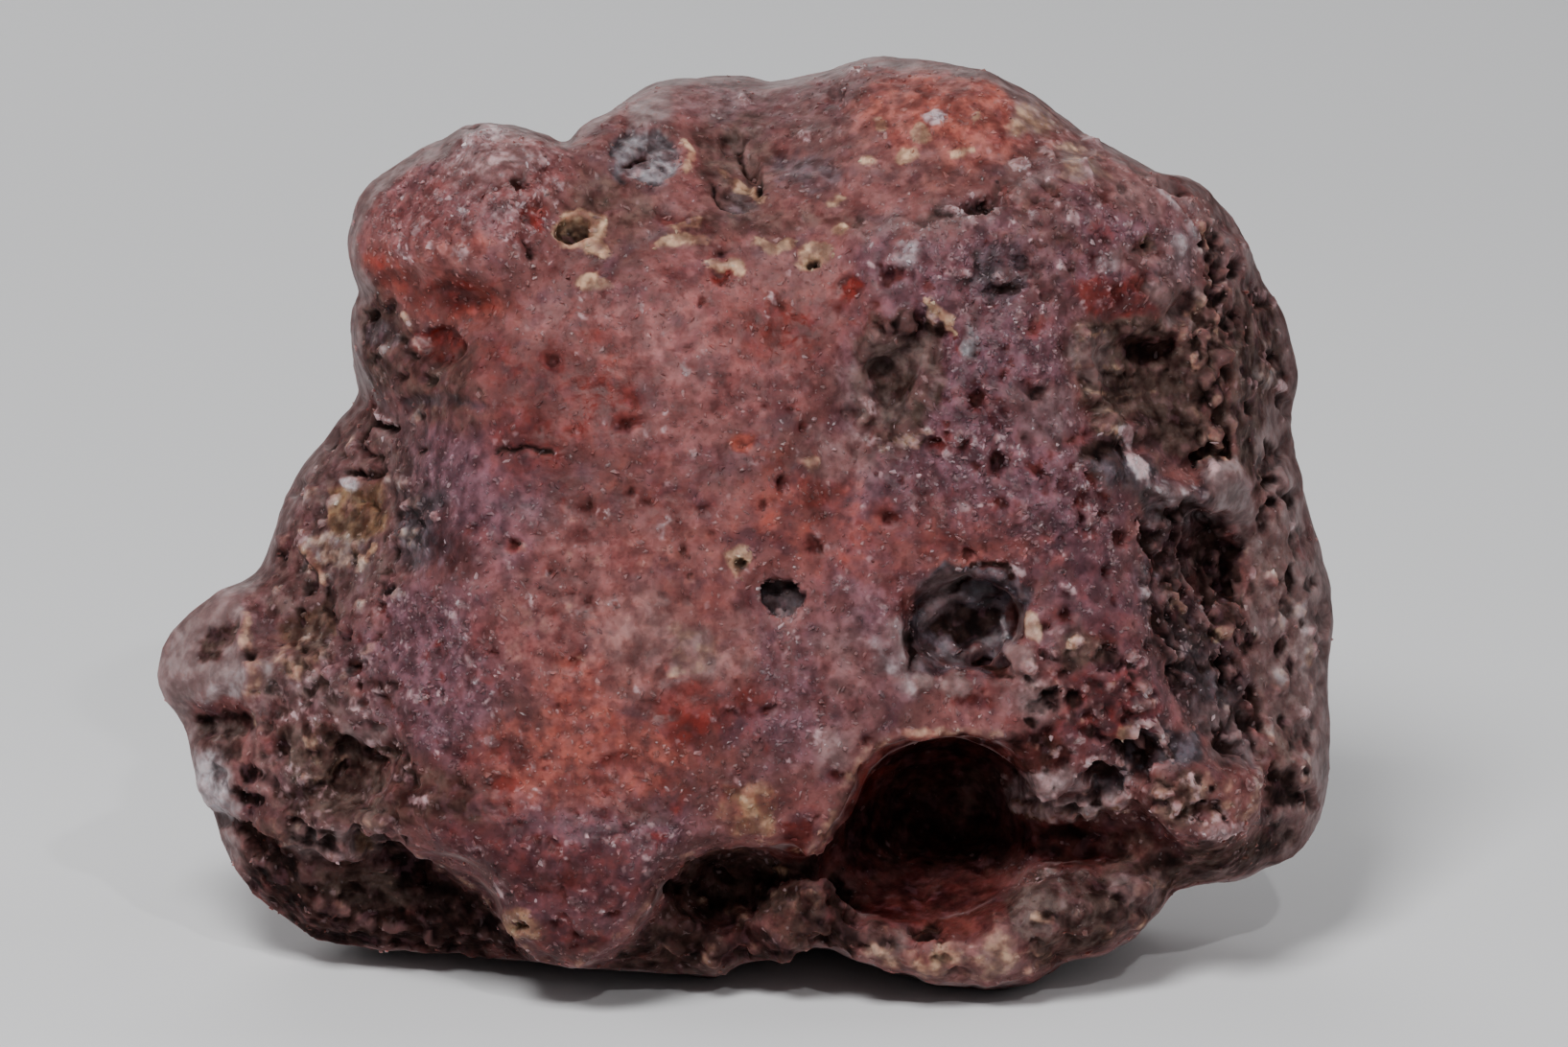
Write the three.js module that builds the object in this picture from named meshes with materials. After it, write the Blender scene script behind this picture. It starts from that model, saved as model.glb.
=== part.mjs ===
// A rough nodule of Malawi agate, standing on its flattish underside: one stone, 60 mm wide.
// Lengths are in millimetres and angles in degrees. In the finished part X runs to the stone's right,
// Y to its back and Z up, and the origin is under the middle of the box that it fills.
//
// The stone is shaped as seen square on to its broad front face: across (x), up (h) and towards the
// viewer (d). Its inside is where depthAt(x, h, d) is above 0, and that function is close to the
// depth under the skin. The skin is laid over it by surface nets, on a grid whose cells are smaller
// towards the detailed front. The stone is then leaned back to the way it stands.
import * as THREE from "three";
import { ImprovedNoise } from "three/addons/math/ImprovedNoise.js";

const noise = new ImprovedNoise();
const { lerp, clamp, smoothstep } = THREE.MathUtils;
const deg = Math.PI / 180;

// Driving dimensions
const frontBulge = 14.5; // from the widest section to the front face
const backBulge = 16.5; // from the widest section to the back
const frontSquareness = 3.0; // 2 is an ellipse, more is a flatter face with rounder corners
const backSquareness = 2.3;
const lean = 14; // how far the front face leans back where the stone stands
const wornDepth = 1.4; // how much the underside has lost where it rests
const wornSnap = 0.45; // skin this near the worn flat lies in it
const frontCell = 1.06; // the grid's cell at the front
const cellGrowth = 0.036; // how much larger its cells are for each mm further back
const easing = [0.5, 0.3]; // how far each pass moves the skin's points towards their neighbours

// How finely the outline is read
const angleSteps = 720;
const calmReach = 34; // the calmed outline is the mean over this angle each way
const calmSamples = 12;
const lobeFade = 11; // depth in which the outline's lobes fade, each way

// The outline of the stone from the front, clockwise from its left point, as [x, h].
const outline = [
  [-30.0, -8.0], [-29.2, -5.6], [-27.0, -3.9], [-25.2, -2.5], [-23.9, 1.2], [-21.9, 4.6],
  [-20.0, 6.8], [-20.1, 10.2], [-19.5, 11.9], [-20.1, 14.1], [-19.5, 16.5], [-16.5, 18.6],
  [-14.1, 20.2], [-11.6, 20.2], [-9.3, 18.2], [-7.4, 21.0], [-4.4, 22.5], [-0.7, 23.0],
  [2.4, 22.6], [6.6, 23.7], [11.7, 23.1], [14.4, 21.8], [17.3, 19.5], [21.2, 17.6],
  [24.1, 16.5], [25.8, 14.4], [27.5, 10.5], [28.2, 7.1], [27.7, 3.6], [28.7, 0.2],
  [30.0, -3.6], [29.8, -7.5], [29.4, -13.4], [27.5, -16.8], [22.9, -18.0], [20.7, -19.2],
  [19.0, -21.4], [15.6, -23.0], [12.2, -23.5], [8.8, -23.0], [6.1, -22.0], [3.6, -21.7],
  [1.0, -22.3], [-1.7, -23.1], [-6.3, -22.5], [-12.2, -22.1], [-17.5, -21.8], [-21.9, -21.3],
  [-24.8, -19.5], [-26.5, -16.8], [-28.2, -13.1],
];

// How the widest section itself bends: the rim stands forward or back of the flat middle there.
const rimBends = [
  { name: "top", at: [0, 24], reach: 15, shift: -5.0 },
  { name: "right flank", at: [29, 4], reach: 17, shift: -5.5 },
  { name: "left point", at: [-29, -8], reach: 12, shift: 1.5 },
  { name: "upper left shoulder", at: [-20, 18], reach: 9, shift: -1.5 },
  { name: "lip under the big cave", at: [13, -23], reach: 9, shift: 1.2 },
  { name: "lower left", at: [-14, -22], reach: 12, shift: -1.5 },
];

// Broken faces: each takes off what stands beyond a plane through a point [x, h, d].
const brokenFaces = [
  { name: "top band", through: [0, 16.5, 12.6], facing: [-0.05, 0.62, 0.78] },
  { name: "right flank", through: [24.3, 2, 11.0], facing: [0.93, 0.04, 0.36] },
  { name: "upper right corner", through: [22, 15, 8.5], facing: [0.66, 0.52, 0.54] },
  { name: "left flank", through: [-18, 3, 9.6], facing: [-0.66, 0.08, 0.75] },
  { name: "lower left point", through: [-24, -9, 8.0], facing: [-0.62, 0.12, 0.77] },
  { name: "back top", through: [0, 15, -15.5], facing: [0.1, 0.5, -0.86] },
  { name: "back left", through: [-19, -2, -11], facing: [-0.68, -0.1, -0.72] },
  { name: "back right", through: [20, -4, -13], facing: [0.62, 0.1, -0.78] },
  { name: "back foot", through: [2, -17, -14], facing: [0.05, -0.62, -0.78] },
];
const faceBlend = 1.6; // how far the arris between two faces is rounded

// Stretches of the front that stand out or lie back: each patch has its own edge, how wide the
// slope at that edge is, and how far the patch rises.
const frontForms = [
  { name: "upper left lobe", edge: [[-21, 10], [-21, 20], [-12, 21], [-8.5, 18], [-10, 13], [-15, 10.6]],
    slope: 3.4, rise: 2.4 },
  { name: "crease under the lobe", edge: [[-20, 12.2], [-15.5, 12.0], [-11.2, 10.8], [-12, 9.4], [-18, 9.2]],
    slope: 2.0, rise: -1.6 },
  { name: "notch groove", edge: [[-10.6, 21], [-8.2, 21], [-9.0, 14.5], [-11.2, 14.5]], slope: 2.0, rise: -1.1 },
  { name: "right hand mass", edge: [[5, 14.2], [11, 15.6], [17, 18.2], [23, 17], [25, 4], [14, -1], [8, 6]],
    slope: 1.8, rise: 1.5 },
  { name: "middle swell", edge: [[-13, 8], [-3, 11.5], [4, 6], [3, -6], [-2, -14], [-13, -11], [-15, -2]],
    slope: 6.0, rise: 1.2 },
  { name: "left shelf", edge: [[-27, -2], [-21, 8], [-16.4, 6.4], [-17.5, -3], [-22, -6.4]], slope: 2.4, rise: -1.3 },
  { name: "tongue", edge: [[-17, -14], [-3, -15], [-4.3, -19.5], [-8.4, -22.6], [-11.4, -21.6]], slope: 2.2, rise: 1.9 },
  { name: "lip under the cave", edge: [[4.5, -20.4], [11, -20.2], [19.5, -17.8], [19, -22], [12.5, -24], [7, -23]],
    slope: 2.4, rise: 1.0 },
  { name: "lower right bump", edge: [[20, -13], [26, -12], [26.5, -16], [21, -17.5]], slope: 2.2, rise: 1.2 },
  { name: "pale crest", edge: [[16.6, 4.4], [19, 4.2], [21, 1.6], [24.6, 2.6], [25.4, 0.8], [20.6, -0.2], [17, 2.6]],
    slope: 1.5, rise: 1.1 },
  { name: "dark right slope", edge: [[20.2, -0.6], [26, 0.6], [27, -6], [25.6, -12], [22, -10.5], [20.3, -5]],
    slope: 1.8, rise: -1.5 },
];

// Hollows with a floor: each has an edge, a depth and how far its rim is rounded.
const hollows = [
  { name: "olive hollow", edge: [[5.2, 8.4], [9.2, 10.4], [10.6, 8.8], [8.9, 4.2], [5.8, 4.2]], depth: 2.6, round: 0.8 },
  { name: "layered hollow", edge: [[16.4, 9.6], [22.8, 10.2], [23.2, 2.8], [19.6, 2.8], [16.6, 6.0]], depth: 2.8, round: 1.0 },
  { name: "grey dimple", edge: [[10.4, 13.0], [13.8, 13.6], [14.4, 11.0], [11.2, 10.4]], depth: 0.9, round: 0.9 },
  { name: "dark left hollow", edge: [[-21.9, -10.6], [-17.4, -10.6], [-16.9, -14.3], [-21.2, -14.2]], depth: 3.0, round: 0.8 },
  { name: "left slot", edge: [[-28.2, -9.0], [-24.6, -9.2], [-24.8, -11.2], [-27.8, -11]], depth: 2.6, round: 0.7 },
  { name: "rust hollow", edge: [[-24.6, -5.2], [-21.2, -3.0], [-21.0, -6.6], [-23.4, -6.8]], depth: 1.7, round: 0.7 },
  { name: "left dimple", edge: [[-28.2, -6.6], [-25.6, -4.6], [-25.2, -6], [-27, -8]], depth: 1.1, round: 1.2 },
  { name: "ochre hollow", edge: [[-22.6, 2.4], [-20.6, 5.4], [-17.2, 4.8], [-17.6, 0], [-20.6, -1]], depth: 1.1, round: 1.2 },
  { name: "edge slits", edge: [[-20.8, 10.6], [-17.8, 10.6], [-17.6, 8.4], [-20.4, 8.2]], depth: 1.0, round: 0.9 },
  { name: "twin holes, left", edge: [[16.2, -11.6], [18.7, -11.4], [19.0, -13.8], [16.8, -14.1]], depth: 2.6, round: 0.6 },
  { name: "twin holes, right", edge: [[19.0, -10.1], [21.2, -9.9], [21.1, -12.5], [19.2, -12.6]], depth: 2.2, round: 0.6 },
  { name: "far right hollow", edge: [[25.2, -12], [27.8, -12.4], [27.8, -15.2], [25.4, -15.4]], depth: 2.2, round: 0.7 },
  { name: "top pit", edge: [[-2.8, 20.2], [0.8, 20.6], [1.2, 16], [-1.8, 15.6]], depth: 1.2, round: 1.0 },
  { name: "centre pit", edge: [[0.6, -2.2], [2.4, -2.4], [2.6, -4.6], [0.9, -4.5]], depth: 1.2, round: 0.6 },
  { name: "cream ringed pit", edge: [[-9.5, 15.6], [-7.0, 15.6], [-7.2, 13.6], [-9.3, 13.6]], depth: 1.2, round: 0.6 },
];

// Deep caves: lumpy blobs of air, with their middle [x, h, d], half sizes and turn about d.
const caves = [
  { name: "big cave", at: [10.0, -15.2, 9.0], half: [4.9, 4.8, 8.5], turn: 8 },
  { name: "big cave, right arm", at: [16.4, -15.9, 9.5], half: [4.8, 1.9, 5.5], turn: 6 },
  { name: "big cave, foot", at: [6.4, -17.5, 9.5], half: [2.5, 2.5, 6.0], turn: 20 },
  { name: "lower left undercut", at: [-17.2, -18.6, 11.5], half: [6.6, 2.7, 8.0], turn: -13 },
  { name: "lower middle undercut", at: [-0.4, -18.4, 12.5], half: [4.2, 2.3, 7.0], turn: 10 },
  { name: "slate hole", at: [11.2, -5.1, 12.0], half: [3.1, 2.4, 5.5], turn: 12 },
  { name: "right hand hole", at: [23.4, -2.6, 9.5], half: [1.7, 2.9, 4.6], turn: -8 },
];
const caveRoundness = 0.5; // of a cave's rim

// The back has rounder lumps and dents, as [x, h] and how far each reaches.
const backForms = [
  { at: [-12, 10], reach: 9, rise: 1.6 },
  { at: [10, 12], reach: 8, rise: 1.3 },
  { at: [17, -6], reach: 9, rise: 1.6 },
  { at: [-16, -12], reach: 8, rise: 1.4 },
  { at: [0, -4], reach: 8, rise: -2.6 },
  { at: [-3, 17], reach: 5, rise: -1.6 },
  { at: [22, 6], reach: 5, rise: -1.6 },
  { at: [-22, -2], reach: 5, rise: -1.8 },
  { at: [5, -14], reach: 4.5, rise: -1.8 },
  { at: [-7, 3], reach: 3.5, rise: -1.3 },
  { at: [9, 3], reach: 3.6, rise: -1.5 },
];

// Natural unevenness that the forms above don't name.
const roughness = [
  { wave: 9, front: 0.7, back: 1.7 },
  { wave: 3.8, front: 0.55, back: 0.9 },
];
const caveRoughness = { wave: 2.6, height: 0.7 };

const smooth = (low, high, value) => smoothstep(value, low, high);
const noiseAt = (x, h, d, wave) => noise.noise(x / wave, h / wave + 3.1, d / wave + 7.3);

// The smaller of two depths, with the crease between them rounded over that width.
function softMin(a, b, round) {
  const near = Math.max(round - Math.abs(a - b), 0) / round;
  return Math.min(a, b) - (near * near * round) / 4;
}

const softMax = (a, b, round) => -softMin(-a, -b, round);

// The outline as a table of its distance from the middle at even angles.
const outlineCurve = new THREE.CatmullRomCurve3(
  outline.map(([x, h]) => new THREE.Vector3(x, h, 0)),
  true,
);
const outlineRadii = outlineByAngle();

function outlineByAngle() {
  const seen = outlineCurve
    .getSpacedPoints(4 * angleSteps)
    .map((p) => ({ angle: Math.atan2(p.y, p.x), radius: Math.hypot(p.x, p.y) }))
    .sort((a, b) => a.angle - b.angle);
  return Array.from({ length: angleSteps }, (_, i) => {
    const angle = (i / angleSteps) * 2 * Math.PI - Math.PI;
    return (seen.find((entry) => entry.angle >= angle) ?? seen[0]).radius;
  });
}

function radiusAt(angle) {
  const place = ((angle + Math.PI) / (2 * Math.PI)) * angleSteps;
  const step = Math.floor(place);
  const radius = (i) => outlineRadii[((i % angleSteps) + angleSteps) % angleSteps];
  return lerp(radius(step), radius(step + 1), place - step);
}

// The same outline with its lobes and notches worn smooth.
function calmRadiusAt(angle) {
  let sum = 0;
  for (let i = -calmSamples; i <= calmSamples; i++) {
    sum += radiusAt(angle + (i / calmSamples) * calmReach * deg);
  }
  return sum / (2 * calmSamples + 1);
}

// Distance from a point to a closed edge, positive inside it.
function depthInside(x, h, edge) {
  let nearest = Infinity;
  let inside = false;
  edge.forEach(([ax, ah], i) => {
    const [bx, bh] = edge[(i + 1) % edge.length];
    const [ux, uh] = [bx - ax, bh - ah];
    const along = clamp(
      ((x - ax) * ux + (h - ah) * uh) / (ux * ux + uh * uh), 0, 1);
    nearest = Math.min(nearest, Math.hypot(x - ax - along * ux, h - ah - along * uh));
    if (ah > h !== bh > h && x < ax + ((h - ah) / uh) * ux) inside = !inside;
  });
  return inside ? nearest : -nearest;
}

// A dome that fades to nothing at its reach.
const dome = (x, h, form) =>
  1 - smooth(0, form.reach, Math.hypot(x - form.at[0], h - form.at[1]));

const rimShift = (x, h) =>
  rimBends.reduce((sum, bend) => sum + bend.shift * dome(x, h, bend), 0);

// Depth under the skin of the plain body: a squared pillow inside the outline.
function bodyDepth(x, h, d) {
  const beyondRim = d - rimShift(x, h);
  const squareness = beyondRim > 0 ? frontSquareness : backSquareness;
  const bulge = beyondRim > 0 ? frontBulge : backBulge;
  const angle = Math.atan2(h, x);
  const radius = lerp(radiusAt(angle), calmRadiusAt(angle), smooth(0, lobeFade, Math.abs(beyondRim)));
  const out = Math.hypot(x, h) / radius;
  const deep = Math.abs(beyondRim) / bulge;
  const size = (out ** squareness + deep ** squareness) ** (1 / squareness);
  const steepness = Math.hypot(
    out ** (squareness - 1) / radius, deep ** (squareness - 1) / bulge) * size ** (1 - squareness);
  return (1 - size) / Math.max(steepness, 1 / radius);
}

function beyondFace({ through, facing }, x, h, d) {
  const [nx, nh, nd] = facing;
  return ((through[0] - x) * nx + (through[1] - h) * nh + (through[2] - d) * nd) / Math.hypot(nx, nh, nd);
}

function relief(x, h, d) {
  const front = smooth(-1, 4, d - rimShift(x, h));
  const back = 1 - smooth(-6, -1, d - rimShift(x, h));
  let rise = 0;
  if (front > 0) {
    for (const { edge, slope, rise: height } of frontForms) {
      rise += front * height * smooth(-slope / 2, slope / 2, depthInside(x, h, edge));
    }
  }
  if (back > 0) rise += back * backForms.reduce((sum, form) => sum + form.rise * dome(x, h, form), 0);
  for (const { wave, front: low, back: high } of roughness) {
    rise += lerp(high, low, front) * noiseAt(x, h, d, wave);
  }
  return rise;
}

// Depth after one hollow is taken out of the front. It is shallower towards the rim.
function hollowOut(depth, { edge, depth: full, round }, x, h, front) {
  const floor = Math.max(full * front, 0.01);
  return softMax(depth - floor, softMin(depth, -depthInside(x, h, edge), round), Math.min(round, floor));
}

// Distance outside one cave.
function outsideCave({ at, half, turn }, x, h, d) {
  const [dx, dh, dd] = [x - at[0], h - at[1], d - at[2]];
  const [c, s] = [Math.cos(turn * deg), Math.sin(turn * deg)];
  const size = Math.hypot((dx * c + dh * s) / half[0], (dh * c - dx * s) / half[1], dd / half[2]);
  const rough = caveRoughness.height * noiseAt(x, h, d, caveRoughness.wave);
  return (size - 1) * Math.min(...half) + rough;
}

// Depth under the finished skin: above 0 inside the stone.
function depthAt(x, h, d) {
  let depth = bodyDepth(x, h, d);
  for (const face of brokenFaces) depth = softMin(depth, beyondFace(face, x, h, d), faceBlend);
  depth += relief(x, h, d);
  const front = smooth(0, 4.5, d - rimShift(x, h));
  if (front > 0) {
    for (const hollow of hollows) depth = hollowOut(depth, hollow, x, h, front);
  }
  for (const blob of caves) depth = softMin(depth, outsideCave(blob, x, h, d), caveRoundness);
  return Math.min(depth, radiusAt(Math.atan2(h, x)) - Math.hypot(x, h));
}

// The grid: planes of even cells, each plane's cells larger than those of the plane before it.
const reach = { x: 32, h: 26, front: 19, back: 24 };
const spread = (d) => 1 + cellGrowth * (reach.front - d);
const planes = [reach.front];
while (planes.at(-1) > -reach.back) {
  planes.push(planes.at(-1) - frontCell * spread(planes.at(-1)));
}
const across = 2 * Math.ceil(reach.x / frontCell) + 1;
const upward = 2 * Math.ceil(reach.h / frontCell) + 1;
const gridIndex = (i, j, k) => (k * upward + j) * across + i;

function gridPoint(i, j, k) {
  const size = frontCell * spread(planes[k]);
  return [(i - (across - 1) / 2) * size, (j - (upward - 1) / 2) * size, planes[k]];
}

const cellCorners = [0, 1].flatMap((k) => [0, 1].flatMap((j) => [0, 1].map((i) => [i, j, k])));
const cellEdges = cellCorners.flatMap((a, m) =>
  cellCorners.flatMap((b, n) =>
    n > m && a[0] + a[1] + a[2] + 1 === b[0] + b[1] + b[2] && a.every((v, axis) => v <= b[axis])
      ? [[m, n]] : []));

function sampleGrid() {
  const depths = new Float32Array(across * upward * planes.length);
  for (let k = 0; k < planes.length; k++) {
    for (let j = 0; j < upward; j++) {
      for (let i = 0; i < across; i++) {
        const edge = i === 0 || j === 0 || k === 0 || i === across - 1 || j === upward - 1
          || k === planes.length - 1;
        depths[gridIndex(i, j, k)] = edge ? -1 : depthAt(...gridPoint(i, j, k));
      }
    }
  }
  return depths;
}

// Where the skin would touch itself along a cell's diagonal, the stone is filled in there.
function fillDiagonals(depths) {
  const filled = frontCell / 10;
  const squares = [
    [[0, 0, 0], [1, 0, 0], [1, 1, 0], [0, 1, 0]],
    [[0, 0, 0], [1, 0, 0], [1, 0, 1], [0, 0, 1]],
    [[0, 0, 0], [0, 1, 0], [0, 1, 1], [0, 0, 1]],
  ];
  let again = true;
  while (again) {
    again = false;
    for (let k = 0; k < planes.length - 1; k++) {
      for (let j = 0; j < upward - 1; j++) {
        for (let i = 0; i < across - 1; i++) {
          for (const square of squares) {
            const at = square.map(([a, b, c]) => gridIndex(i + a, j + b, k + c));
            const [p, q, r, s] = at.map((index) => depths[index] > 0);
            if (p !== r || q !== s || p === q) continue;
            for (const index of p ? [at[1], at[3]] : [at[0], at[2]]) depths[index] = filled;
            again = true;
          }
        }
      }
    }
  }
  return depths;
}

// Air that no opening reaches is filled, and a crumb that nothing holds is dropped.
function keepOneStone(depths) {
  const steps = [1, across, across * upward];
  const flood = (start, isStone) => {
    const seen = new Uint8Array(depths.length);
    const queue = [start];
    seen[start] = 1;
    while (queue.length) {
      const index = queue.pop();
      for (const next of steps.flatMap((step) => [index - step, index + step])) {
        if (next < 0 || next >= depths.length || seen[next] || depths[next] > 0 !== isStone) continue;
        seen[next] = 1;
        queue.push(next);
      }
    }
    return seen;
  };
  const middle = gridIndex((across - 1) / 2, (upward - 1) / 2, planes.findIndex((d) => d < 0));
  const air = flood(0, false);
  const held = flood(middle, true);
  return depths.map((depth, index) => (depth > 0 ? (held[index] ? depth : -frontCell / 10)
    : (air[index] ? depth : frontCell / 10)));
}

// One point for each cell that the skin crosses: the mean of its crossings of the cell's edges.
function skinPoints(depths) {
  const points = [];
  const cellPoint = new Map();
  for (let k = 0; k < planes.length - 1; k++) {
    for (let j = 0; j < upward - 1; j++) {
      for (let i = 0; i < across - 1; i++) {
        const corners = cellCorners.map(([a, b, c]) => [i + a, j + b, k + c]);
        const values = corners.map((corner) => depths[gridIndex(...corner)]);
        const sum = new THREE.Vector3();
        let crossings = 0;
        for (const [m, n] of cellEdges) {
          if (values[m] > 0 === values[n] > 0) continue;
          const start = new THREE.Vector3(...gridPoint(...corners[m]));
          const end = new THREE.Vector3(...gridPoint(...corners[n]));
          sum.add(start.lerp(end, values[m] / (values[m] - values[n])));
          crossings++;
        }
        if (!crossings) continue;
        cellPoint.set(gridIndex(i, j, k), points.length);
        points.push(sum.divideScalar(crossings));
      }
    }
  }
  return { points, cellPoint };
}

// Two triangles round each grid edge that the skin crosses, split along the shorter diagonal.
function skinFaces(depths, { points, cellPoint }) {
  const faces = [];
  const axes = [
    { step: [1, 0, 0], round: [[0, 0, 0], [0, -1, 0], [0, -1, -1], [0, 0, -1]] },
    { step: [0, 1, 0], round: [[0, 0, 0], [0, 0, -1], [-1, 0, -1], [-1, 0, 0]] },
    { step: [0, 0, 1], round: [[0, 0, 0], [-1, 0, 0], [-1, -1, 0], [0, -1, 0]] },
  ];
  for (let k = 1; k < planes.length - 1; k++) {
    for (let j = 1; j < upward - 1; j++) {
      for (let i = 1; i < across - 1; i++) {
        const here = depths[gridIndex(i, j, k)] > 0;
        for (const { step, round } of axes) {
          const there = depths[gridIndex(i + step[0], j + step[1], k + step[2])] > 0;
          if (here === there) continue;
          let [a, b, c, d] = round.map(([u, v, w]) => cellPoint.get(gridIndex(i + u, j + v, k + w)));
          // planes run from front to back, so the grid is left-handed
          if (here) [b, d] = [d, b];
          const alongAC = points[a].distanceTo(points[c]) < points[b].distanceTo(points[d]);
          faces.push(...(alongAC ? [a, b, c, a, c, d] : [a, b, d, b, c, d]));
        }
      }
    }
  }
  return faces;
}

// Moves the points towards the middle of their neighbours, so no facet stands up by itself.
function ease(points, faces, share) {
  const sums = points.map(() => new THREE.Vector3());
  const counts = points.map(() => 0);
  for (let f = 0; f < faces.length; f += 3) {
    for (const [a, b] of [[0, 1], [1, 2], [2, 0]]) {
      sums[faces[f + a]].add(points[faces[f + b]]);
      counts[faces[f + a]]++;
    }
  }
  points.forEach((point, n) => sums[n].divideScalar(counts[n]));
  points.forEach((point, n) => point.lerp(sums[n], share));
}

// From (x, h, d) to X right, Y back, Z up, leaned back as the stone stands.
function stand(point) {
  return point.set(point.x, -point.z, point.y).applyAxisAngle(new THREE.Vector3(1, 0, 0), -lean * deg);
}

// The underside, worn flat where the stone rests.
function wear(points) {
  const lowest = Math.min(...points.map((point) => point.z));
  const flat = lowest + wornDepth;
  for (const point of points) {
    if (point.z < flat + wornSnap) point.z = flat;
  }
}

function stone() {
  const depths = keepOneStone(fillDiagonals(sampleGrid()));
  const skin = skinPoints(depths);
  const faces = skinFaces(depths, skin);
  easing.forEach((share) => ease(skin.points, faces, share));
  skin.points.forEach(stand);
  wear(skin.points);

  const geometry = new THREE.BufferGeometry().setFromPoints(skin.points);
  geometry.setIndex(faces);
  geometry.computeBoundingBox();
  const { min, max } = geometry.boundingBox;
  geometry.translate(-(min.x + max.x) / 2, -(min.y + max.y) / 2, -min.z);
  geometry.computeVertexNormals();
  return geometry;
}

const chalcedony = new THREE.MeshStandardMaterial({
  color: new THREE.Color(0.36, 0.14, 0.13),
  roughness: 0.42,
  metalness: 0,
});

const agate = new THREE.Mesh(stone(), chalcedony);
agate.name = "agate";

const group = new THREE.Group();
group.add(agate);
export default group;
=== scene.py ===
"""Looks for a rough nodule of Malawi agate: its broken front, its druse, its stains and its worn rind."""
import logging
import math
from collections.abc import Sequence
from dataclasses import dataclass
from enum import Enum

import bpy
import numpy as np
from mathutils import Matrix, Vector


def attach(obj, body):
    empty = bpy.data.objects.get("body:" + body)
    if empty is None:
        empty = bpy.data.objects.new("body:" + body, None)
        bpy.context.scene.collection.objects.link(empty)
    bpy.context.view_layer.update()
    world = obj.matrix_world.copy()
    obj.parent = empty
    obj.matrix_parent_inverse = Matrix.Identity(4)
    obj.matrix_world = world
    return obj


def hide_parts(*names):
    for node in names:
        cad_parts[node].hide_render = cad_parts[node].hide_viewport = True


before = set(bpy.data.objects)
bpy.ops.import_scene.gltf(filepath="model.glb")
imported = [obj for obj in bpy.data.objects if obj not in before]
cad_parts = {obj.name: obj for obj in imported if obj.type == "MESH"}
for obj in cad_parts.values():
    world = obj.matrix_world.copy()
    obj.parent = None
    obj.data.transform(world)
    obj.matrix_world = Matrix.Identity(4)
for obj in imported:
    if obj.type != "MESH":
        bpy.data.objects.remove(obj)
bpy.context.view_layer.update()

Piece = bpy.types.Object
Socket = bpy.types.NodeSocket
Tree = bpy.types.NodeTree
Span = tuple[float, float, float, float]

log = logging.getLogger("agate")

MM = 0.001


def select_only(obj: Piece) -> None:
    """Deselects everything, then selects one object and makes it active.

    Args:
        obj: The object to work on.
    """
    bpy.ops.object.select_all(action="DESELECT")
    obj.select_set(True)
    bpy.context.view_layer.objects.active = obj


def apply_modifier(obj: Piece, kind: str, **values: object) -> None:
    """Adds one modifier with its values and applies it.

    Args:
        obj: The object that the modifier changes.
        kind: The modifier's type, such as "REMESH".
        **values: The modifier's settings by name.
    """
    select_only(obj)
    modifier = obj.modifiers.new(kind.lower(), kind)
    for name, value in values.items():
        setattr(modifier, name, value)
    bpy.ops.object.modifier_apply(modifier=modifier.name)


def ramp(low: float, high: float, value: np.ndarray) -> np.ndarray:
    """Eases from 0 at low to 1 at high.

    Args:
        low: Where the result is 0.
        high: Where the result is 1.
        value: The numbers to ease.

    Returns:
        Numbers from 0 to 1.
    """
    t = np.clip((value - low) / (high - low), 0.0, 1.0)
    return t * t * (3.0 - 2.0 * t)


@dataclass(frozen=True)
class PointNoise:
    """Smooth noise in three dimensions, about -1 to 1, the same on each run."""

    seed: int = 1

    def at(self, points: np.ndarray, wave: float) -> np.ndarray:
        """Gives the noise at some points.

        Args:
            points: One row for each point.
            wave: The distance over which the noise changes.

        Returns:
            One number for each point.
        """
        turns = np.random.default_rng(self.seed)
        order = turns.permutation(256)
        order = np.concatenate([order, order])
        slopes = turns.normal(size=(256, 3))
        slopes /= np.linalg.norm(slopes, axis=1, keepdims=True)
        place = points / wave
        cell = np.floor(place).astype(int)
        part = place - cell
        eased = part**3 * (part * (part * 6 - 15) + 10)
        total = np.zeros(len(points))
        for corner in range(8):
            step = np.array([corner & 1, corner >> 1 & 1, corner >> 2 & 1])
            at = (cell + step) & 255
            pick = order[order[order[at[:, 0]] + at[:, 1]] + at[:, 2]]
            value = np.einsum("ij,ij->i", slopes[pick], part - step)
            total += value * np.prod(np.where(step, eased, 1 - eased), axis=1)
        return total * 1.7

    def layers(self, points: np.ndarray, wave: float, count: int, ridged: bool = False) -> np.ndarray:
        """Adds finer and finer noise.

        Args:
            points: One row for each point.
            wave: The longest wave.
            count: How many layers, each half as long and half as high as the last.
            ridged: Whether each layer is folded into sharp ridges.

        Returns:
            One number for each point, about -1 to 1.
        """
        total = np.zeros(len(points))
        weight = 0.0
        for layer in range(count):
            part = 0.5**layer
            value = PointNoise(self.seed + layer).at(points + 11.3 * layer, wave * part)
            if ridged:
                value = 1.0 - 2.0 * np.abs(value)
            total += value * part
            weight += part
        return total / weight


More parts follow.
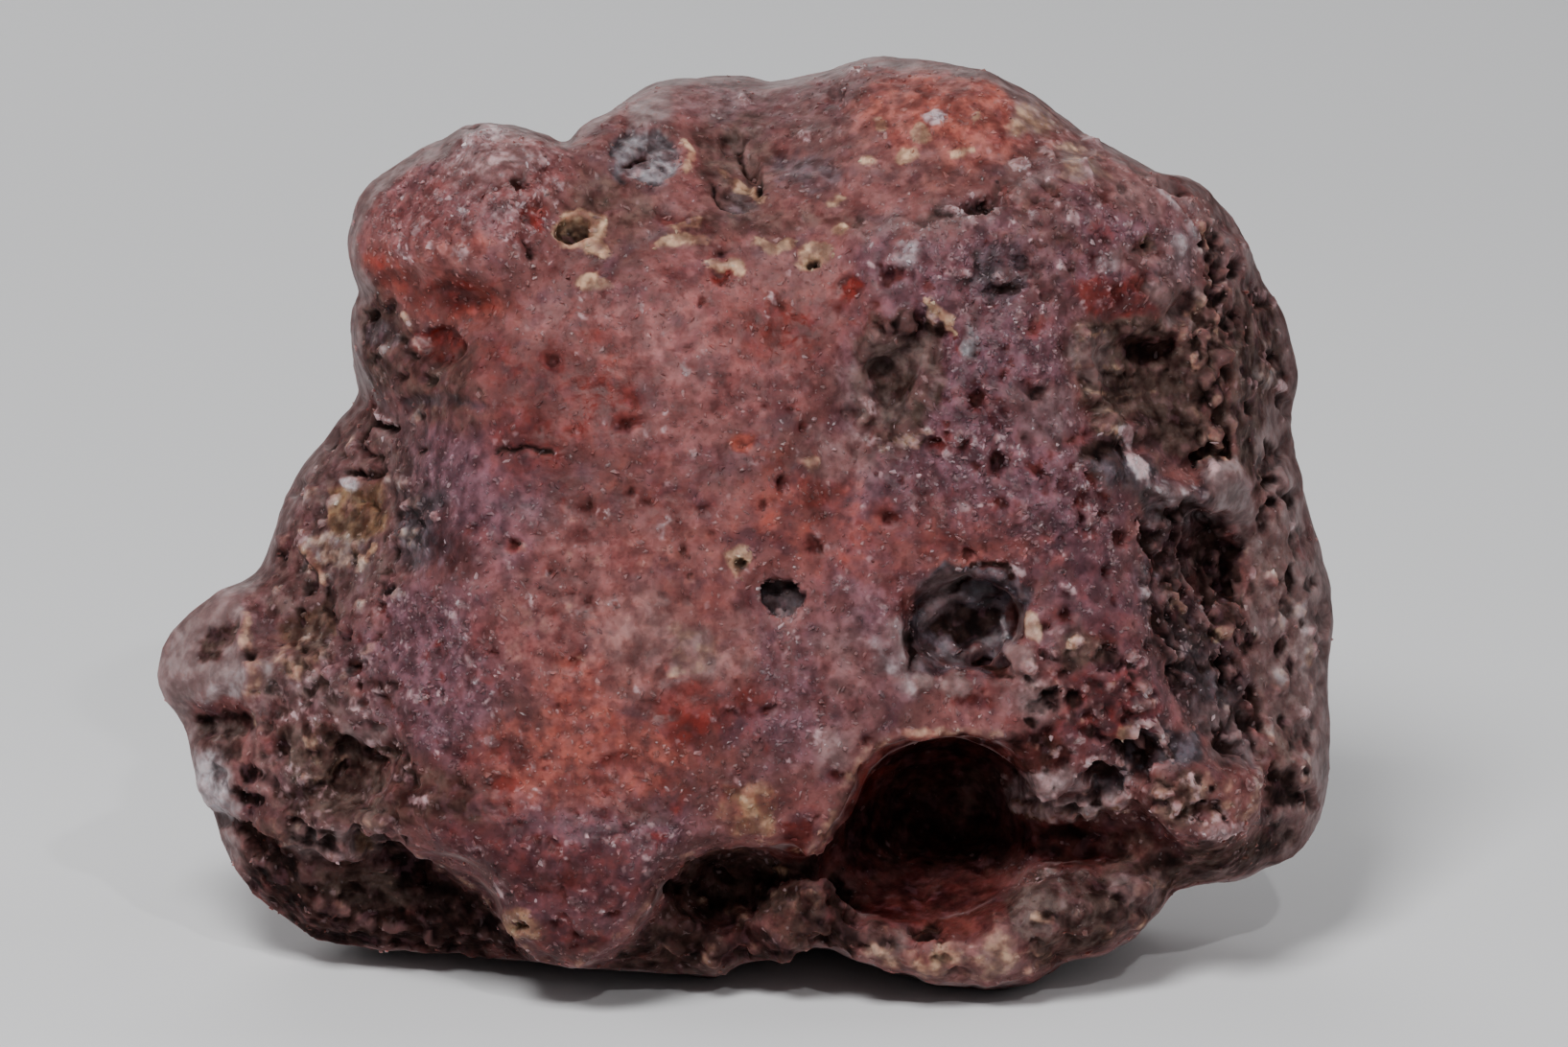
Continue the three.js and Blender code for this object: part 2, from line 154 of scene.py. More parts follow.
@dataclass(frozen=True)
class PointCells:
    """Space cut into uneven cells, for crumbs and for broken facets, the same on each run."""

    seed: int = 1

    def at(self, points: np.ndarray, size: float) -> tuple[np.ndarray, np.ndarray]:
        """Finds the cell that each point is in.

        Args:
            points: One row for each point.
            size: How wide the cells are.

        Returns:
            For each point the height there of a facet that faces its own way, and its cell's own
            number from 0 to 1.
        """
        table = np.random.default_rng(self.seed).random((4096, 7))
        place = points / size
        cell = np.floor(place).astype(np.int64)
        near = np.full(len(points), 9.0)
        facet, own = np.zeros(len(points)), np.zeros(len(points))
        for corner in range(27):
            at = cell + np.array([corner % 3 - 1, corner // 3 % 3 - 1, corner // 9 - 1])
            key = (at[:, 0] * 73856093 ^ at[:, 1] * 19349663 ^ at[:, 2] * 83492791) & 4095
            away = place - at - table[key, :3]
            far = np.sqrt(np.einsum("ij,ij->i", away, away))
            closer = np.nonzero(far < near)[0]
            near[closer] = far[closer]
            rows = table[key[closer]]
            facet[closer] = np.einsum("ij,ij->i", away[closer], rows[:, 3:6] - 0.5)
            own[closer] = rows[:, 6]
        return facet, own


class Tone(Enum):
    """The stains, crusts and skins that show on the stone, and the painted shade and painted glints among them, each a
    mask on its mesh.
    """

    LILAC = "lilac"
    ROSE = "rose"
    IRON = "iron"
    BLOOD = "blood"
    WINE = "wine"
    OCHRE = "ochre"
    CLAY = "clay"
    SLATE = "slate"
    RIND = "rind"
    CREAM = "cream"
    MILK = "milk"
    # pale crystal crust, and small painted glints on the druse and ridges
    FROST = "frost"
    # black crust and flecks, and painted shade in hollows, slits, caves and undercuts
    SOOT = "soot"
    SUGAR = "sugar"


# hollow: how sunk a place is, for painted shade; crest: crests painted paler, partly edge wear and partly painted
# highlight; front: how far a place faces the viewer
MASKS: tuple[str, ...] = (*(tone.value for tone in Tone), "hollow", "crest", "front")


@dataclass(frozen=True)
class FrontView:
    """The view of the broad front face: pixels across and down, and millimetres in the stone."""

    elevation: float = math.radians(14.0)
    pixel: float = 0.04866
    middle_x: float = 780.0
    middle_y: float = 545.0
    width: int = 1635
    height: int = 1092

    @property
    def towards(self) -> np.ndarray:
        """The direction from the stone to the viewer."""
        return np.array([0.0, -math.cos(self.elevation), math.sin(self.elevation)])

    @property
    def up(self) -> np.ndarray:
        """The direction that is up in the view."""
        return np.array([0.0, math.sin(self.elevation), math.cos(self.elevation)])

    def flatten(self, points: np.ndarray, offset: np.ndarray) -> np.ndarray:
        """Turns points of the stone into pixels across, pixels down and millimetres towards the viewer.

        Args:
            points: Points in millimetres.
            offset: The stone's own middle in the view, across and up, in millimetres.

        Returns:
            One row for each point.
        """
        across = (points[:, 0] - offset[0]) / self.pixel + self.middle_x
        down = self.middle_y - (points @ self.up - offset[1]) / self.pixel
        return np.column_stack([across, down, points @ self.towards])


VIEW = FrontView()


def off_line(spots: np.ndarray, line: Sequence[Sequence[float]]) -> np.ndarray:
    """Measures how far spots are from a line through several corners.

    Args:
        spots: One row of two numbers for each spot.
        line: The line's corners.

    Returns:
        The distance of each spot.
    """
    nearest = np.full(len(spots), 1e9)
    for a, b in zip(line, line[1:]):
        start, along = np.array(a, float), np.array(b, float) - np.array(a, float)
        t = np.clip((spots - start) @ along / max(along @ along, 1e-9), 0.0, 1.0)
        nearest = np.minimum(nearest, np.linalg.norm(spots - start - t[:, None] * along, axis=1))
    return nearest


def span(line: Sequence[Sequence[float]]) -> Span:
    """Finds the lowest and highest pixel across, and the lowest and highest down."""
    xs, ys = zip(*line)
    return min(xs), max(xs), min(ys), max(ys)


@dataclass(frozen=True)
class Oval:
    """A roundish mark by its middle, half sizes in pixels and turn in degrees."""

    x: float
    y: float
    half: float
    tall: float
    turn: float

    def depth(self, spots: np.ndarray) -> np.ndarray:
        """How far each spot is inside the oval, in pixels, below 0 outside it."""
        c, s = math.cos(math.radians(self.turn)), math.sin(math.radians(self.turn))
        dx, dy = spots[:, 0] - self.x, spots[:, 1] - self.y
        size = np.hypot((dx * c + dy * s) / self.half, (dy * c - dx * s) / self.tall)
        return (1.0 - size) * min(self.half, self.tall)

    def reach(self) -> Span:
        """The lowest and highest pixel across, and the lowest and highest down."""
        big = max(self.half, self.tall)
        return self.x - big, self.x + big, self.y - big, self.y + big

    def ragged(self) -> float:
        """How far its edge may wander, in pixels."""
        return 0.45 * min(self.half, self.tall)


@dataclass(frozen=True)
class Patch:
    """A stretch of surface inside a closed edge of pixels."""

    edge: tuple[tuple[float, float], ...]

    def depth(self, spots: np.ndarray) -> np.ndarray:
        """How far each spot is inside the edge, in pixels, below 0 outside it."""
        closed = self.edge + self.edge[:1]
        inside = np.zeros(len(spots), bool)
        for a, b in zip(closed, closed[1:]):
            if a[1] != b[1]:
                crosses = (a[1] > spots[:, 1]) != (b[1] > spots[:, 1])
                at = (b[0] - a[0]) * (spots[:, 1] - a[1]) / (b[1] - a[1]) + a[0]
                inside ^= crosses & (spots[:, 0] < at)
        nearest = off_line(spots, closed)
        return np.where(inside, nearest, -nearest)

    def reach(self) -> Span:
        """The lowest and highest pixel across, and the lowest and highest down."""
        return span(self.edge)

    def ragged(self) -> float:
        """How far its edge may wander, in pixels."""
        return 13.0


@dataclass(frozen=True)
class Streak:
    """A line of pixels with half its width."""

    line: tuple[tuple[float, float], ...]
    half: float

    def depth(self, spots: np.ndarray) -> np.ndarray:
        """How far each spot is inside the streak, in pixels, below 0 outside it."""
        return self.half - off_line(spots, self.line)

    def reach(self) -> Span:
        """The lowest and highest pixel across, and the lowest and highest down."""
        left, right, top, bottom = span(self.line)
        return left - self.half, right + self.half, top - self.half, bottom + self.half

    def ragged(self) -> float:
        """How far its edge may wander, in pixels."""
        return 0.8 * self.half


@dataclass(frozen=True)
class Mark:
    """One feature of the front: where it is, how far it stands out, and what it wipes and covers."""

    shape: Oval | Patch | Streak
    rise: float
    soft: float
    wipe: float
    tones: dict[Tone, float]

    def is_paint(self) -> bool:
        """Whether it is broad soft paint with next to no relief."""
        return abs(self.rise) < 0.3 and self.soft >= 20

    def cover(self, spots: np.ndarray, stir: np.ndarray, soft: float = 0.0) -> tuple[np.ndarray, np.ndarray]:
        """Finds the spots that the mark covers, and how fully.

        Args:
            spots: Pixels across and down.
            stir: How far the mark's edge is broken at each spot, about -1 to 1.
            soft: The width of its edge, or 0 for the mark's own.

        Returns:
            The numbers of the spots, and for each of them a number from 0 to 1.
        """
        wide = soft or self.soft
        left, right, top, bottom = self.shape.reach()
        room = wide + 8
        near = np.nonzero((spots[:, 0] > left - room) & (spots[:, 0] < right + room)
                          & (spots[:, 1] > top - room) & (spots[:, 1] < bottom + room))[0]
        if not len(near):
            return near, np.zeros(0)
        broken = self.shape.depth(spots[near]) + stir[near] * self.shape.ragged()
        return near, ramp(-wide / 2, wide / 2, broken)


def corners(text: str) -> tuple[tuple[float, float], ...]:
    """Reads pixels written as "across,down across,down" and so on."""
    return tuple((float(across), float(down)) for across, down in (spot.split(",") for spot in text.split()))


def shares(tones: dict[str, float]) -> dict[Tone, float]:
    """Turns tones in percent by name into shares of 1."""
    return {Tone(name): strength / 100 for name, strength in tones.items()}


# The makers below take pixels, a rise in hundredths of a millimetre (below 0 for a pit), the width of
# the mark's soft edge in pixels, how many percent it wipes off the tones laid before it, and the percent
# of each tone that it lays.


def oval(x: float, y: float, half: float, tall: float, turn: float, rise: float, soft: float,
         wipe: float = 0.0, **tones: float) -> Mark:
    """Makes a roundish mark from its middle, its half sizes and its turn in degrees."""
    return Mark(Oval(x, y, half, tall, turn), rise / 100, soft, wipe / 100, shares(tones))


def patch(edge: str, rise: float, soft: float, wipe: float = 0.0, **tones: float) -> Mark:
    """Makes a mark inside a closed edge."""
    return Mark(Patch(corners(edge)), rise / 100, soft, wipe / 100, shares(tones))


def streak(line: str, half: float, rise: float, soft: float, wipe: float = 0.0, **tones: float) -> Mark:
    """Makes a mark along a line, from half its width."""
    return Mark(Streak(corners(line), half), rise / 100, soft, wipe / 100, shares(tones))


@dataclass(frozen=True)
class Field:
    """A stretch of the front that is strewn with small marks of one kind."""

    area: Patch
    count: int
    small: float
    large: float
    rise: float
    turn: float
    stretch: float
    tones: dict[Tone, float]

    def strew(self, seed: int) -> list[Mark]:
        """Strews the marks.

        Args:
            seed: Sets where each falls.

        Returns:
            The marks.
        """
        turns = np.random.default_rng(seed)
        left, right, top, bottom = self.area.reach()
        made: list[Mark] = []
        while len(made) < self.count:
            spot = np.array([[turns.uniform(left, right), turns.uniform(top, bottom)]])
            if self.area.depth(spot)[0] < 0:
                continue
            half = self.small + (self.large - self.small) * turns.random() ** 1.8
            strong = turns.uniform(0.45, 1.0)
            tones = {tone: value * strong for tone, value in self.tones.items()}
            shape = Oval(*spot[0], half * turns.uniform(1.0, self.stretch), half, self.turn + turns.uniform(-28, 28))
            made.append(Mark(shape, self.rise * half / self.large * strong, 4.0, 0.0, tones))
        return made


def field_of(edge: str, count: int, small: float, large: float, rise: float, turn: float, stretch: float,
             **tones: float) -> Field:
    """Makes a field of small marks.

    Args:
        edge: The field's corners, in pixels.
        count: How many.
        small: The half size of the smallest, in pixels.
        large: The half size of the largest.
        rise: How far the largest stand out, in hundredths of a millimetre, below 0 for pits.
        turn: Which way they lie, in degrees.
        stretch: How much longer than wide they may be.
        **tones: How many percent of each tone they lay at most.

    Returns:
        The field.
    """
    return Field(Patch(corners(edge)), count, small, large, rise / 100, turn, stretch, shares(tones))


# the stone's outline in the view, from the left end round over the top
OUTLINE = corners("163,708 170,683 185,655 210,630 236,612 262,598 277,570 290,533 312,488 338,452 366,423 374,405 "
    "366,378 364,346 368,318 378,305 368,278 365,252 372,222 381,202 405,182 440,160 466,150 486,132 520,129 552,133 "
    "572,141 590,151 604,134 634,116 660,97 684,85 716,79 760,73 786,76 800,81 830,78 862,72 884,64 915,58 938,62 "
    "968,63 1000,68 1030,74 1052,88 1072,97 1102,118 1134,142 1168,160 1205,180 1232,184 1262,199 1284,222 1300,252 "
    "1318,290 1338,320 1348,350 1356,392 1350,432 1352,470 1362,500 1370,540 1382,570 1392,610 1394,650 1388,690 "
    "1389,740 1387,800 1378,850 1360,880 1328,905 1290,918 1250,922 1222,930 1205,952 1180,976 1150,988 1110,1000 "
    "1075,1022 1030,1029 980,1026 940,1016 905,1002 870,990 845,989 810,998 770,1003 745,1019 715,1015 660,1010 "
    "600,1008 540,1000 480,995 420,992 370,988 330,982 300,962 270,935 245,905 235,880 222,845 206,800 196,765 "
    "180,738")

# the broad forms and zones of the front, each laid over the last; the black in their hollows, slits, caves and
# undercuts is painted shade
BROAD_MARKS: tuple[Mark, ...] = (
    # the upper left lobe and the crease under it
    patch("372,215 470,150 560,140 596,170 588,240 520,285 440,275 385,260", 50, 60, rose=50, lilac=42, sugar=90),
    patch("500,190 560,150 590,200 560,260 520,240", 0, 40, lilac=60, frost=25),
    patch("385,262 440,282 510,296 540,312 510,332 440,322 395,300", -25, 30, blood=60, iron=75),
    patch("366,305 400,300 430,330 440,400 380,415 364,370", -15, 24, clay=75, rind=15, soot=15),
    patch("440,345 478,345 496,372 470,396 436,372", -45, 14, blood=70),
    # the top band and its orange glow
    patch("596,160 690,84 800,84 915,66 1060,96 1130,150 1100,172 1020,205 900,240 780,262 660,262 596,220", 25, 40,
        rind=20, sugar=10, clay=16, rose=20),
    patch("630,118 690,86 790,80 880,70 940,66 900,100 800,110 760,150 690,120", 0, 34, rind=40, lilac=50, clay=30),
    patch("925,100 1000,80 1068,100 1072,150 1000,170 940,165 905,135", 10, 50, iron=85, rose=90),
    oval(1040, 118, 34, 28, 0, 0, 34, iron=100),
    # the ledge, with painted shadow in the crease along it
    patch("940,232 985,222 1020,205 1050,196 1042,220 1000,236 950,246", -60, 16, soot=35, clay=30),
    streak("885,250 930,240 985,240 1030,226 1075,195 1110,176 1160,176 1215,200 1248,232", 10, 30, 22, rind=45,
        sugar=100),
    patch("1060,150 1100,140 1140,152 1150,175 1100,180 1065,172", -20, 22, clay=55, ochre=15),
    # the right hand mass and its lilac
    patch("890,255 1030,235 1110,185 1215,210 1250,260 1255,330 1120,300 1110,460 1170,520 1160,600 1060,560 960,560 "
        "900,470 990,340", 25, 40, lilac=40, sugar=80),
    patch("985,340 1060,320 1110,380 1110,470 1150,540 1110,600 1010,560 960,500 930,440", 15, 60, lilac=95,
        sugar=70),
    patch("890,262 1000,240 1110,195 1215,215 1250,270 1240,320 1110,330 1080,470 960,480 880,380", 0, 60, lilac=70),
    patch("1090,560 1180,560 1200,680 1230,770 1180,800 1090,780 1080,700", 0, 50, lilac=75, blood=15),
    patch("860,480 950,470 1040,540 930,600 930,700 880,780 800,760 840,640 840,560", 0, 60, lilac=60),
    # the layered hollow: its fold, floor, layers, lens and rims; the black lens under its overhang is painted shade
    patch("1108,300 1190,292 1222,318 1200,338 1130,342", 30, 16, blood=60, iron=15, wine=30),
    patch("1112,345 1200,332 1262,345 1266,480 1215,480 1150,462 1112,400", 90, 16, 90, clay=95, soot=10),
    patch("1170,436 1205,422 1236,430 1240,470 1222,490 1184,482", 20, 12, 70, lilac=60, clay=50),
    *(streak(line, half, -0.3 * dark, 4, soot=dark) for line, half, dark in (("1120,352 1150,345 1190,345 1224,350",
        2.5, 70), ("1116,370 1134,364", 2.5, 60), ("1138,388 1172,393 1212,386", 3, 80), ("1120,398 1150,405 "
        "1186,403", 2, 70), ("1126,416 1150,424 1178,417", 2.2, 70), ("1200,404 1222,398 1236,404", 2.5, 70),
        ("1138,436 1160,443", 2.5, 60), ("1190,416 1216,414", 1.8, 50))),
    *(streak(line, 2, 20, 4, cream=45, rind=30) for line in ("1128,384 1160,384", "1128,408 1160,414 1196,409",
        "1132,428 1164,434", "1120,358 1144,353", "1150,446 1172,452")),
    patch("1152,362 1176,350 1206,354 1220,366 1198,380 1160,380", -50, 9, 80, soot=100, wine=50),
    streak("1114,348 1118,392 1130,424 1146,446 1160,456", 4, 40, 7, frost=22, cream=20),
    oval(1224, 328, 13, 9, 10, -50, 7, soot=80),
    oval(1236, 346, 13, 11, 0, 30, 7, ochre=30, cream=35),
    # the olive hollow: its brow, crack, gap, floor and lips; the dark band under the brow is painted shadow
    patch("888,356 910,336 950,332 978,356 984,410 962,456 930,466 898,448 884,405", 110, 16, 90, clay=95),
    patch("906,344 930,334 966,336 986,348 978,358 950,350 924,356", 0, 7, 80, soot=85, clay=50),
    streak("930,366 946,360 966,368", 3.5, -30, 4, soot=80),
    oval(917, 385, 18, 9, -38, -40, 7, 60, wine=90, soot=55),
    patch("906,420 930,412 954,418 950,446 914,452", 10, 10, 70, clay=50, rind=50),
    streak("962,320 974,330 986,340 992,352", 3.5, 20, 4, cream=90),
    streak("972,366 970,400 962,440", 4, 20, 6, 50, clay=40, rind=40),
    streak("888,362 884,400 892,440", 2.5, 10, 5, rind=60),
    streak("896,462 920,468 950,462 964,452", 5, 15, 6, cream=50, frost=50),
    # the grey dimple
    patch("1002,268 1060,258 1075,290 1050,325 1010,318", -30, 18, slate=50, clay=30, soot=15),
    # the right flank, its wall and its broken ridge
    patch("1250,232 1284,225 1338,322 1356,392 1352,470 1372,545 1394,640 1388,740 1380,860 1320,905 1310,800 "
        "1296,640 1268,480 1262,330", -20, 24, clay=55, rind=50),
    patch("1268,270 1312,290 1336,330 1346,400 1344,480 1330,520 1290,520 1272,430", -20, 20, 80, clay=85, slate=20,
        soot=15),
    patch("1238,236 1262,244 1280,300 1276,380 1284,490 1244,484 1238,420 1226,344 1250,300", 0, 16, 80, clay=85),
    patch("1258,240 1292,262 1306,330 1300,420 1290,500 1262,500 1266,420 1256,330", 100, 40),
    streak("1268,372 1264,400 1270,440 1266,484", 3, -50, 5, soot=90),
    # the crest: its crystals, clefts and the bright flake
    patch("1110,478 1150,462 1180,476 1200,500 1240,512 1262,492 1300,500 1306,540 1240,532 1190,520 1150,508", 40,
        20, slate=70, lilac=30, clay=60, wine=30, soot=20),
    *(oval(x, y, half, 2.6, turn, 25, 3, milk=90) for x, y, half, turn in ((1189, 505, 4, 40), (1203, 513, 3, 0),
        (1212, 526, 4, 20), (1228, 516, 4, -20), (1240, 510, 3, -50), (1204, 500, 2.5, 0), (1254, 518, 3, 60), (1222,
        508, 2.5, 0))),
    streak("1276,488 1292,502 1302,524 1308,548", 5, 15, 6, 60, rind=90, lilac=30),
    streak("1196,530 1216,536 1240,530 1262,540", 6, -50, 6, soot=95),
    patch("1106,478 1128,462 1158,462 1156,476 1126,484", -50, 9, soot=85),
    patch("1161,448 1170,449 1177,468 1186,500 1180,504 1170,486 1164,466", 15, 3, milk=100, frost=80),
    streak("1158,462 1162,480 1166,500", 3, -40, 4, soot=70, slate=50),
    oval(1196, 510, 5, 3, 30, 35, 3, milk=80, cream=30),
    oval(1218, 521, 6, 3, -20, 35, 3, milk=100, frost=60),
    oval(1246, 526, 4, 3, 0, 30, 3, milk=70, frost=30),
    patch("1258,486 1284,482 1304,510 1310,548 1296,540 1280,516 1262,512", 0, 10, rind=90, milk=10, lilac=40),
    # the dark crust, its hole and the right rims
    patch("1236,545 1272,536 1288,570 1284,620 1252,628 1234,590", -140, 16, soot=90, clay=30),
    patch("1186,520 1232,530 1240,620 1290,700 1310,790 1270,800 1226,740 1196,690 1178,600", -50, 26, soot=62,
        slate=55),
    streak("1214,628 1230,650 1250,668 1266,692", 3, 25, 7, cream=45, frost=20),
    patch("1310,540 1350,536 1362,600 1330,625 1300,600", 10, 18, clay=60, ochre=20),
    patch("1345,590 1392,580 1400,690 1394,840 1368,850 1362,720 1348,690", 10, 20, rind=100, rose=30),
    # the maroon field
    patch("1060,700 1120,680 1190,690 1205,740 1170,770 1090,775 1050,750", -10, 26, blood=50, soot=35, lilac=30),
    # the slate hole: its floor, lens, crevices, notch and lumps
    patch("945,618 975,590 1040,584 1072,610 1066,655 1030,700 965,702 944,668", 0, 10, 90, slate=100, lilac=15),
    patch("956,664 1000,672 1036,664 1034,690 990,698 958,690", 10, 12, 70, slate=80, rind=25),
    patch("958,650 976,634 1006,627 1044,634 1046,652 1020,668 972,668", -60, 14, 20, soot=92, slate=90),
    streak("950,634 962,624 984,616 1008,604", 4.5, -40, 4, 70, soot=90),
    streak("944,660 950,680 946,696 962,702", 3, -30, 4, soot=85),
    patch("1014,596 1030,590 1062,604 1064,622 1044,628 1020,614", 30, 6, 90, slate=90, lilac=30),
    streak("1012,588 1028,584 1042,590 1048,602", 4, -40, 4, 80, soot=100),
    streak("1046,593 1064,598", 4, 15, 4, frost=100, milk=70),
    streak("1047,640 1048,656 1040,668", 2, 10, 3, milk=80),
    patch("1050,626 1066,628 1064,662 1050,662", 0, 6, 70, soot=70),
    patch("1036,682 1046,668 1070,668 1080,684 1072,702 1046,704", 50, 8, 90, rind=80, clay=40),
    oval(1075, 650, 8, 17, -8, 35, 5, 90, cream=90, milk=30),
    streak("1018,690 1034,698 1046,702", 5, -50, 4, 80, soot=100),
    oval(964, 706, 14, 9, 0, 30, 6, 80, rind=50, clay=60, ochre=20),
    oval(992, 710, 18, 12, 10, 30, 8, 80, rind=50, clay=60, rose=30),
    oval(1012, 728, 26, 8, 4, -15, 8, wine=70, blood=40),
    patch("918,650 942,640 948,690 952,720 930,716", 10, 18, rind=60, lilac=80),
    streak("932,646 940,662 942,690 950,718", 2.5, 10, 6, 40, rind=90, milk=35),
    oval(1072, 712, 12, 8, -15, 15, 5, frost=100, cream=50),
    # the big cave: its rust, its floor and its rims; the black and much of the dark wine in it are painted shade
    patch("848,885 872,846 888,800 908,775 940,760 1010,766 1050,780 1064,820 1110,850 1182,862 1180,892 1110,900 "
        "1075,880 1060,940 1010,972 940,968 880,955 846,930", -40, 14, 90, blood=30, wine=60, clay=30),
    patch("878,836 898,786 936,766 958,778 930,830 896,850", 0, 16, iron=90, blood=60),
    patch("900,955 950,925 1045,915 1060,935 1030,985 930,985", 0, 50, wine=90, iron=20),
    patch("930,905 1000,895 1046,900 1050,962 990,975 925,965", 0, 30, wine=90, soot=20),
    streak("846,882 868,848 884,802 906,774 938,757 1000,760 1052,762 1078,776", 5, 35, 8, cream=40, rose=30,
        rind=30),
    streak("1060,836 1084,846 1112,848 1138,838 1164,834", 6, 40, 7, 70, frost=80, cream=80),
    # the shelf and the hollow at the far right; the black in the hollow is painted shade
    patch("1205,805 1290,792 1312,830 1290,868 1220,866 1196,836", 30, 18, cream=20, rose=40, clay=30),
    patch("1205,815 1240,808 1250,850 1215,858", -20, 14, clay=80, wine=40),
    patch("1312,802 1348,798 1356,838 1316,848", -60, 12, soot=75),
    # the lip of the cave
    patch("880,960 930,984 1020,972 1080,950 1150,930 1215,900 1210,950 1150,985 1075,1018 980,1024 900,1000 862,985",
        30, 20, 80, clay=50, rose=20, rind=40, cream=20, sugar=20),
    streak("912,950 960,958 1010,950 1044,930", 15, 0, 26, 60, wine=80, iron=30),
    patch("1050,960 1110,930 1160,900 1215,890 1214,948 1150,985 1080,1016", 0, 24, 70, clay=80, wine=50, soot=25),
    patch("1006,980 1034,958 1062,968 1060,1008 1022,1018", 35, 26, 80, rind=50, rose=90, cream=40),
    patch("886,968 940,985 1000,985 1004,1010 950,1012 896,992", 15, 18, 60, cream=50, rose=60, clay=30),
    patch("1055,900 1095,882 1135,900 1130,965 1080,978 1050,945", 30, 20, clay=60, wine=40, milk=10, sugar=80),
    # the cave's arm and the skin under it; the dark in the arm is painted shade under the crystal edge above it
    patch("1062,852 1150,862 1190,868 1186,896 1120,904 1064,892", -20, 12, 90, wine=100, soot=45),
    patch("1140,862 1190,860 1212,876 1190,900 1150,890", 20, 16, 70, clay=50, wine=90),
    patch("1150,885 1230,878 1330,858 1386,850 1350,912 1250,930 1200,955 1150,950", 0, 22, clay=75, soot=50,
        wine=40),
    # the middle undercut, its lump and gap; their black is painted shade
    patch("670,970 706,917 719,892 749,874 775,872 802,881 820,893 846,889 862,930 862,990 745,1022 600,1012 640,992",
        -50, 14, soot=45, clay=60, wine=50),
    patch("712,930 740,892 800,896 810,940 760,965 720,955", 0, 24, soot=40, wine=80),
    oval(722, 960, 14, 10, 10, 50, 10, clay=50, rose=15),
    patch("862,905 892,920 902,950 890,985 862,1000 850,975 862,945", -50, 14, 80, soot=85, clay=60),
    # what stands round the cave
    patch("1046,764 1094,756 1112,780 1100,812 1060,812 1046,796", -20, 14, 60, soot=55, wine=80),
    patch("1090,800 1150,820 1160,838 1100,842", 10, 14, 30, rind=50, frost=50),
    patch("600,1003 700,1004 760,998 800,990 850,984 850,1000 745,1024 600,1014", 20, 12, clay=55, rind=25),
    # the brown nodule and its rust wall
    patch("788,918 835,902 866,930 846,985 805,990 786,960", 90, 18, clay=55, ochre=20, soot=20),
    patch("812,850 846,852 842,892 808,888", 10, 14, blood=50, wine=70),
    patch("758,815 806,812 808,858 768,866 752,842", 30, 14, ochre=50, cream=22, iron=30),
    # the lower left undercut, the tongue and the sharp lip between them; the dark of the undercut is painted shade
    patch("228,850 290,862 346,868 420,852 434,895 480,908 522,952 560,996 330,996 262,926", -50, 20, soot=80,
        clay=50),
    patch("520,862 690,862 660,958 600,1000 560,990 524,948", 20, 20, lilac=30, blood=25),
    patch("556,955 620,950 640,975 600,1004 560,994", 10, 12, blood=50, clay=30),
    streak("408,788 428,838 424,868 440,894 480,905 520,948 560,988 600,1000 660,958 690,915 722,888 790,870 846,884",
        4, 30, 8, cream=30, rose=30),
    # the left hollow and the slot; the black in the top of the hollow is painted shade
    patch("260,700 330,690 430,740 440,860 400,890 300,850 262,780", 0, 30, clay=30, rind=25, lilac=80, sugar=70),
    patch("338,780 372,770 408,778 420,806 396,818 350,816 334,800", 10, 16, 90, soot=80, clay=80),
    patch("346,812 420,806 428,840 400,860 356,852", 10, 12, 80, clay=95),
    patch("200,744 262,738 270,750 258,764 208,764", -60, 10, 90, soot=85, clay=60),
    # the crystal face
    patch("198,768 240,772 256,810 252,852 224,860 204,810", 30, 18, 90, rind=100, milk=25),
    oval(224, 816, 13, 26, -14, 20, 20, milk=100),
    patch("240,772 284,770 292,826 252,830", 10, 16, 80, rose=70, clay=40, rind=30),
    streak("212,828 218,846 232,858", 2.5, -30, 4, soot=80),
    # the bulge at the far left
    patch("150,700 176,645 236,600 262,640 268,700 220,736 170,740", 40, 22, 80, lilac=50, rind=100),
    patch("210,668 226,652 250,644 258,652 246,672 226,688 212,688", -40, 12, 95, clay=90, soot=35),
    patch("200,732 222,710 256,694 286,690 290,704 258,722 222,738", 20, 10, 80, rind=90, milk=30, clay=30),
    streak("258,640 262,676 274,700 266,726 274,752", 6, 35, 8, 60, cream=50, rind=50),
    # the rust hollow
    patch("286,664 312,642 334,628 352,624 352,672 326,670 304,674", -35, 7, 90, iron=45, ochre=60, wine=35),
    patch("292,678 322,670 350,676 340,702 300,708", 30, 10, 80, cream=40, rose=40, rind=30),
    streak("346,606 350,640 346,668", 5, -50, 8, soot=85),
    # the left shelf
    patch("290,520 372,415 440,425 450,600 380,640 330,700 250,640", -10, 30, lilac=40, clay=55, rind=20),
    patch("420,400 470,392 520,410 510,436 440,440", 0, 20, wine=40, clay=50),
    patch("345,512 400,500 416,540 388,568 350,560", -15, 14, 70, ochre=90, clay=50),
    patch("318,560 350,552 392,566 400,590 340,606", 15, 12, cream=34, milk=20, clay=50),
    patch("420,520 472,518 480,580 440,596 412,570", -20, 22, slate=75, soot=30),
    # the colours of the main face
    patch("400,430 580,420 610,480 540,600 420,600", 0, 44, lilac=85),
    patch("400,600 500,600 540,700 500,800 440,790 400,700", 10, 44, lilac=85, sugar=70),
    patch("280,700 400,640 440,700 430,840 330,850 290,780", 0, 40, lilac=70, clay=30, sugar=60),
    patch("440,830 560,840 720,830 720,880 600,905 480,895", 0, 34, lilac=85, sugar=60),
    patch("480,880 600,890 720,870 690,920 640,985 570,990 520,930", 0, 40, lilac=70, soot=16),
    patch("500,540 640,530 730,580 720,700 600,740 500,700 480,610", 15, 50, rose=45, cream=8),
    patch("600,290 760,280 860,330 840,430 720,500 640,480 590,400", 10, 60, rose=65),
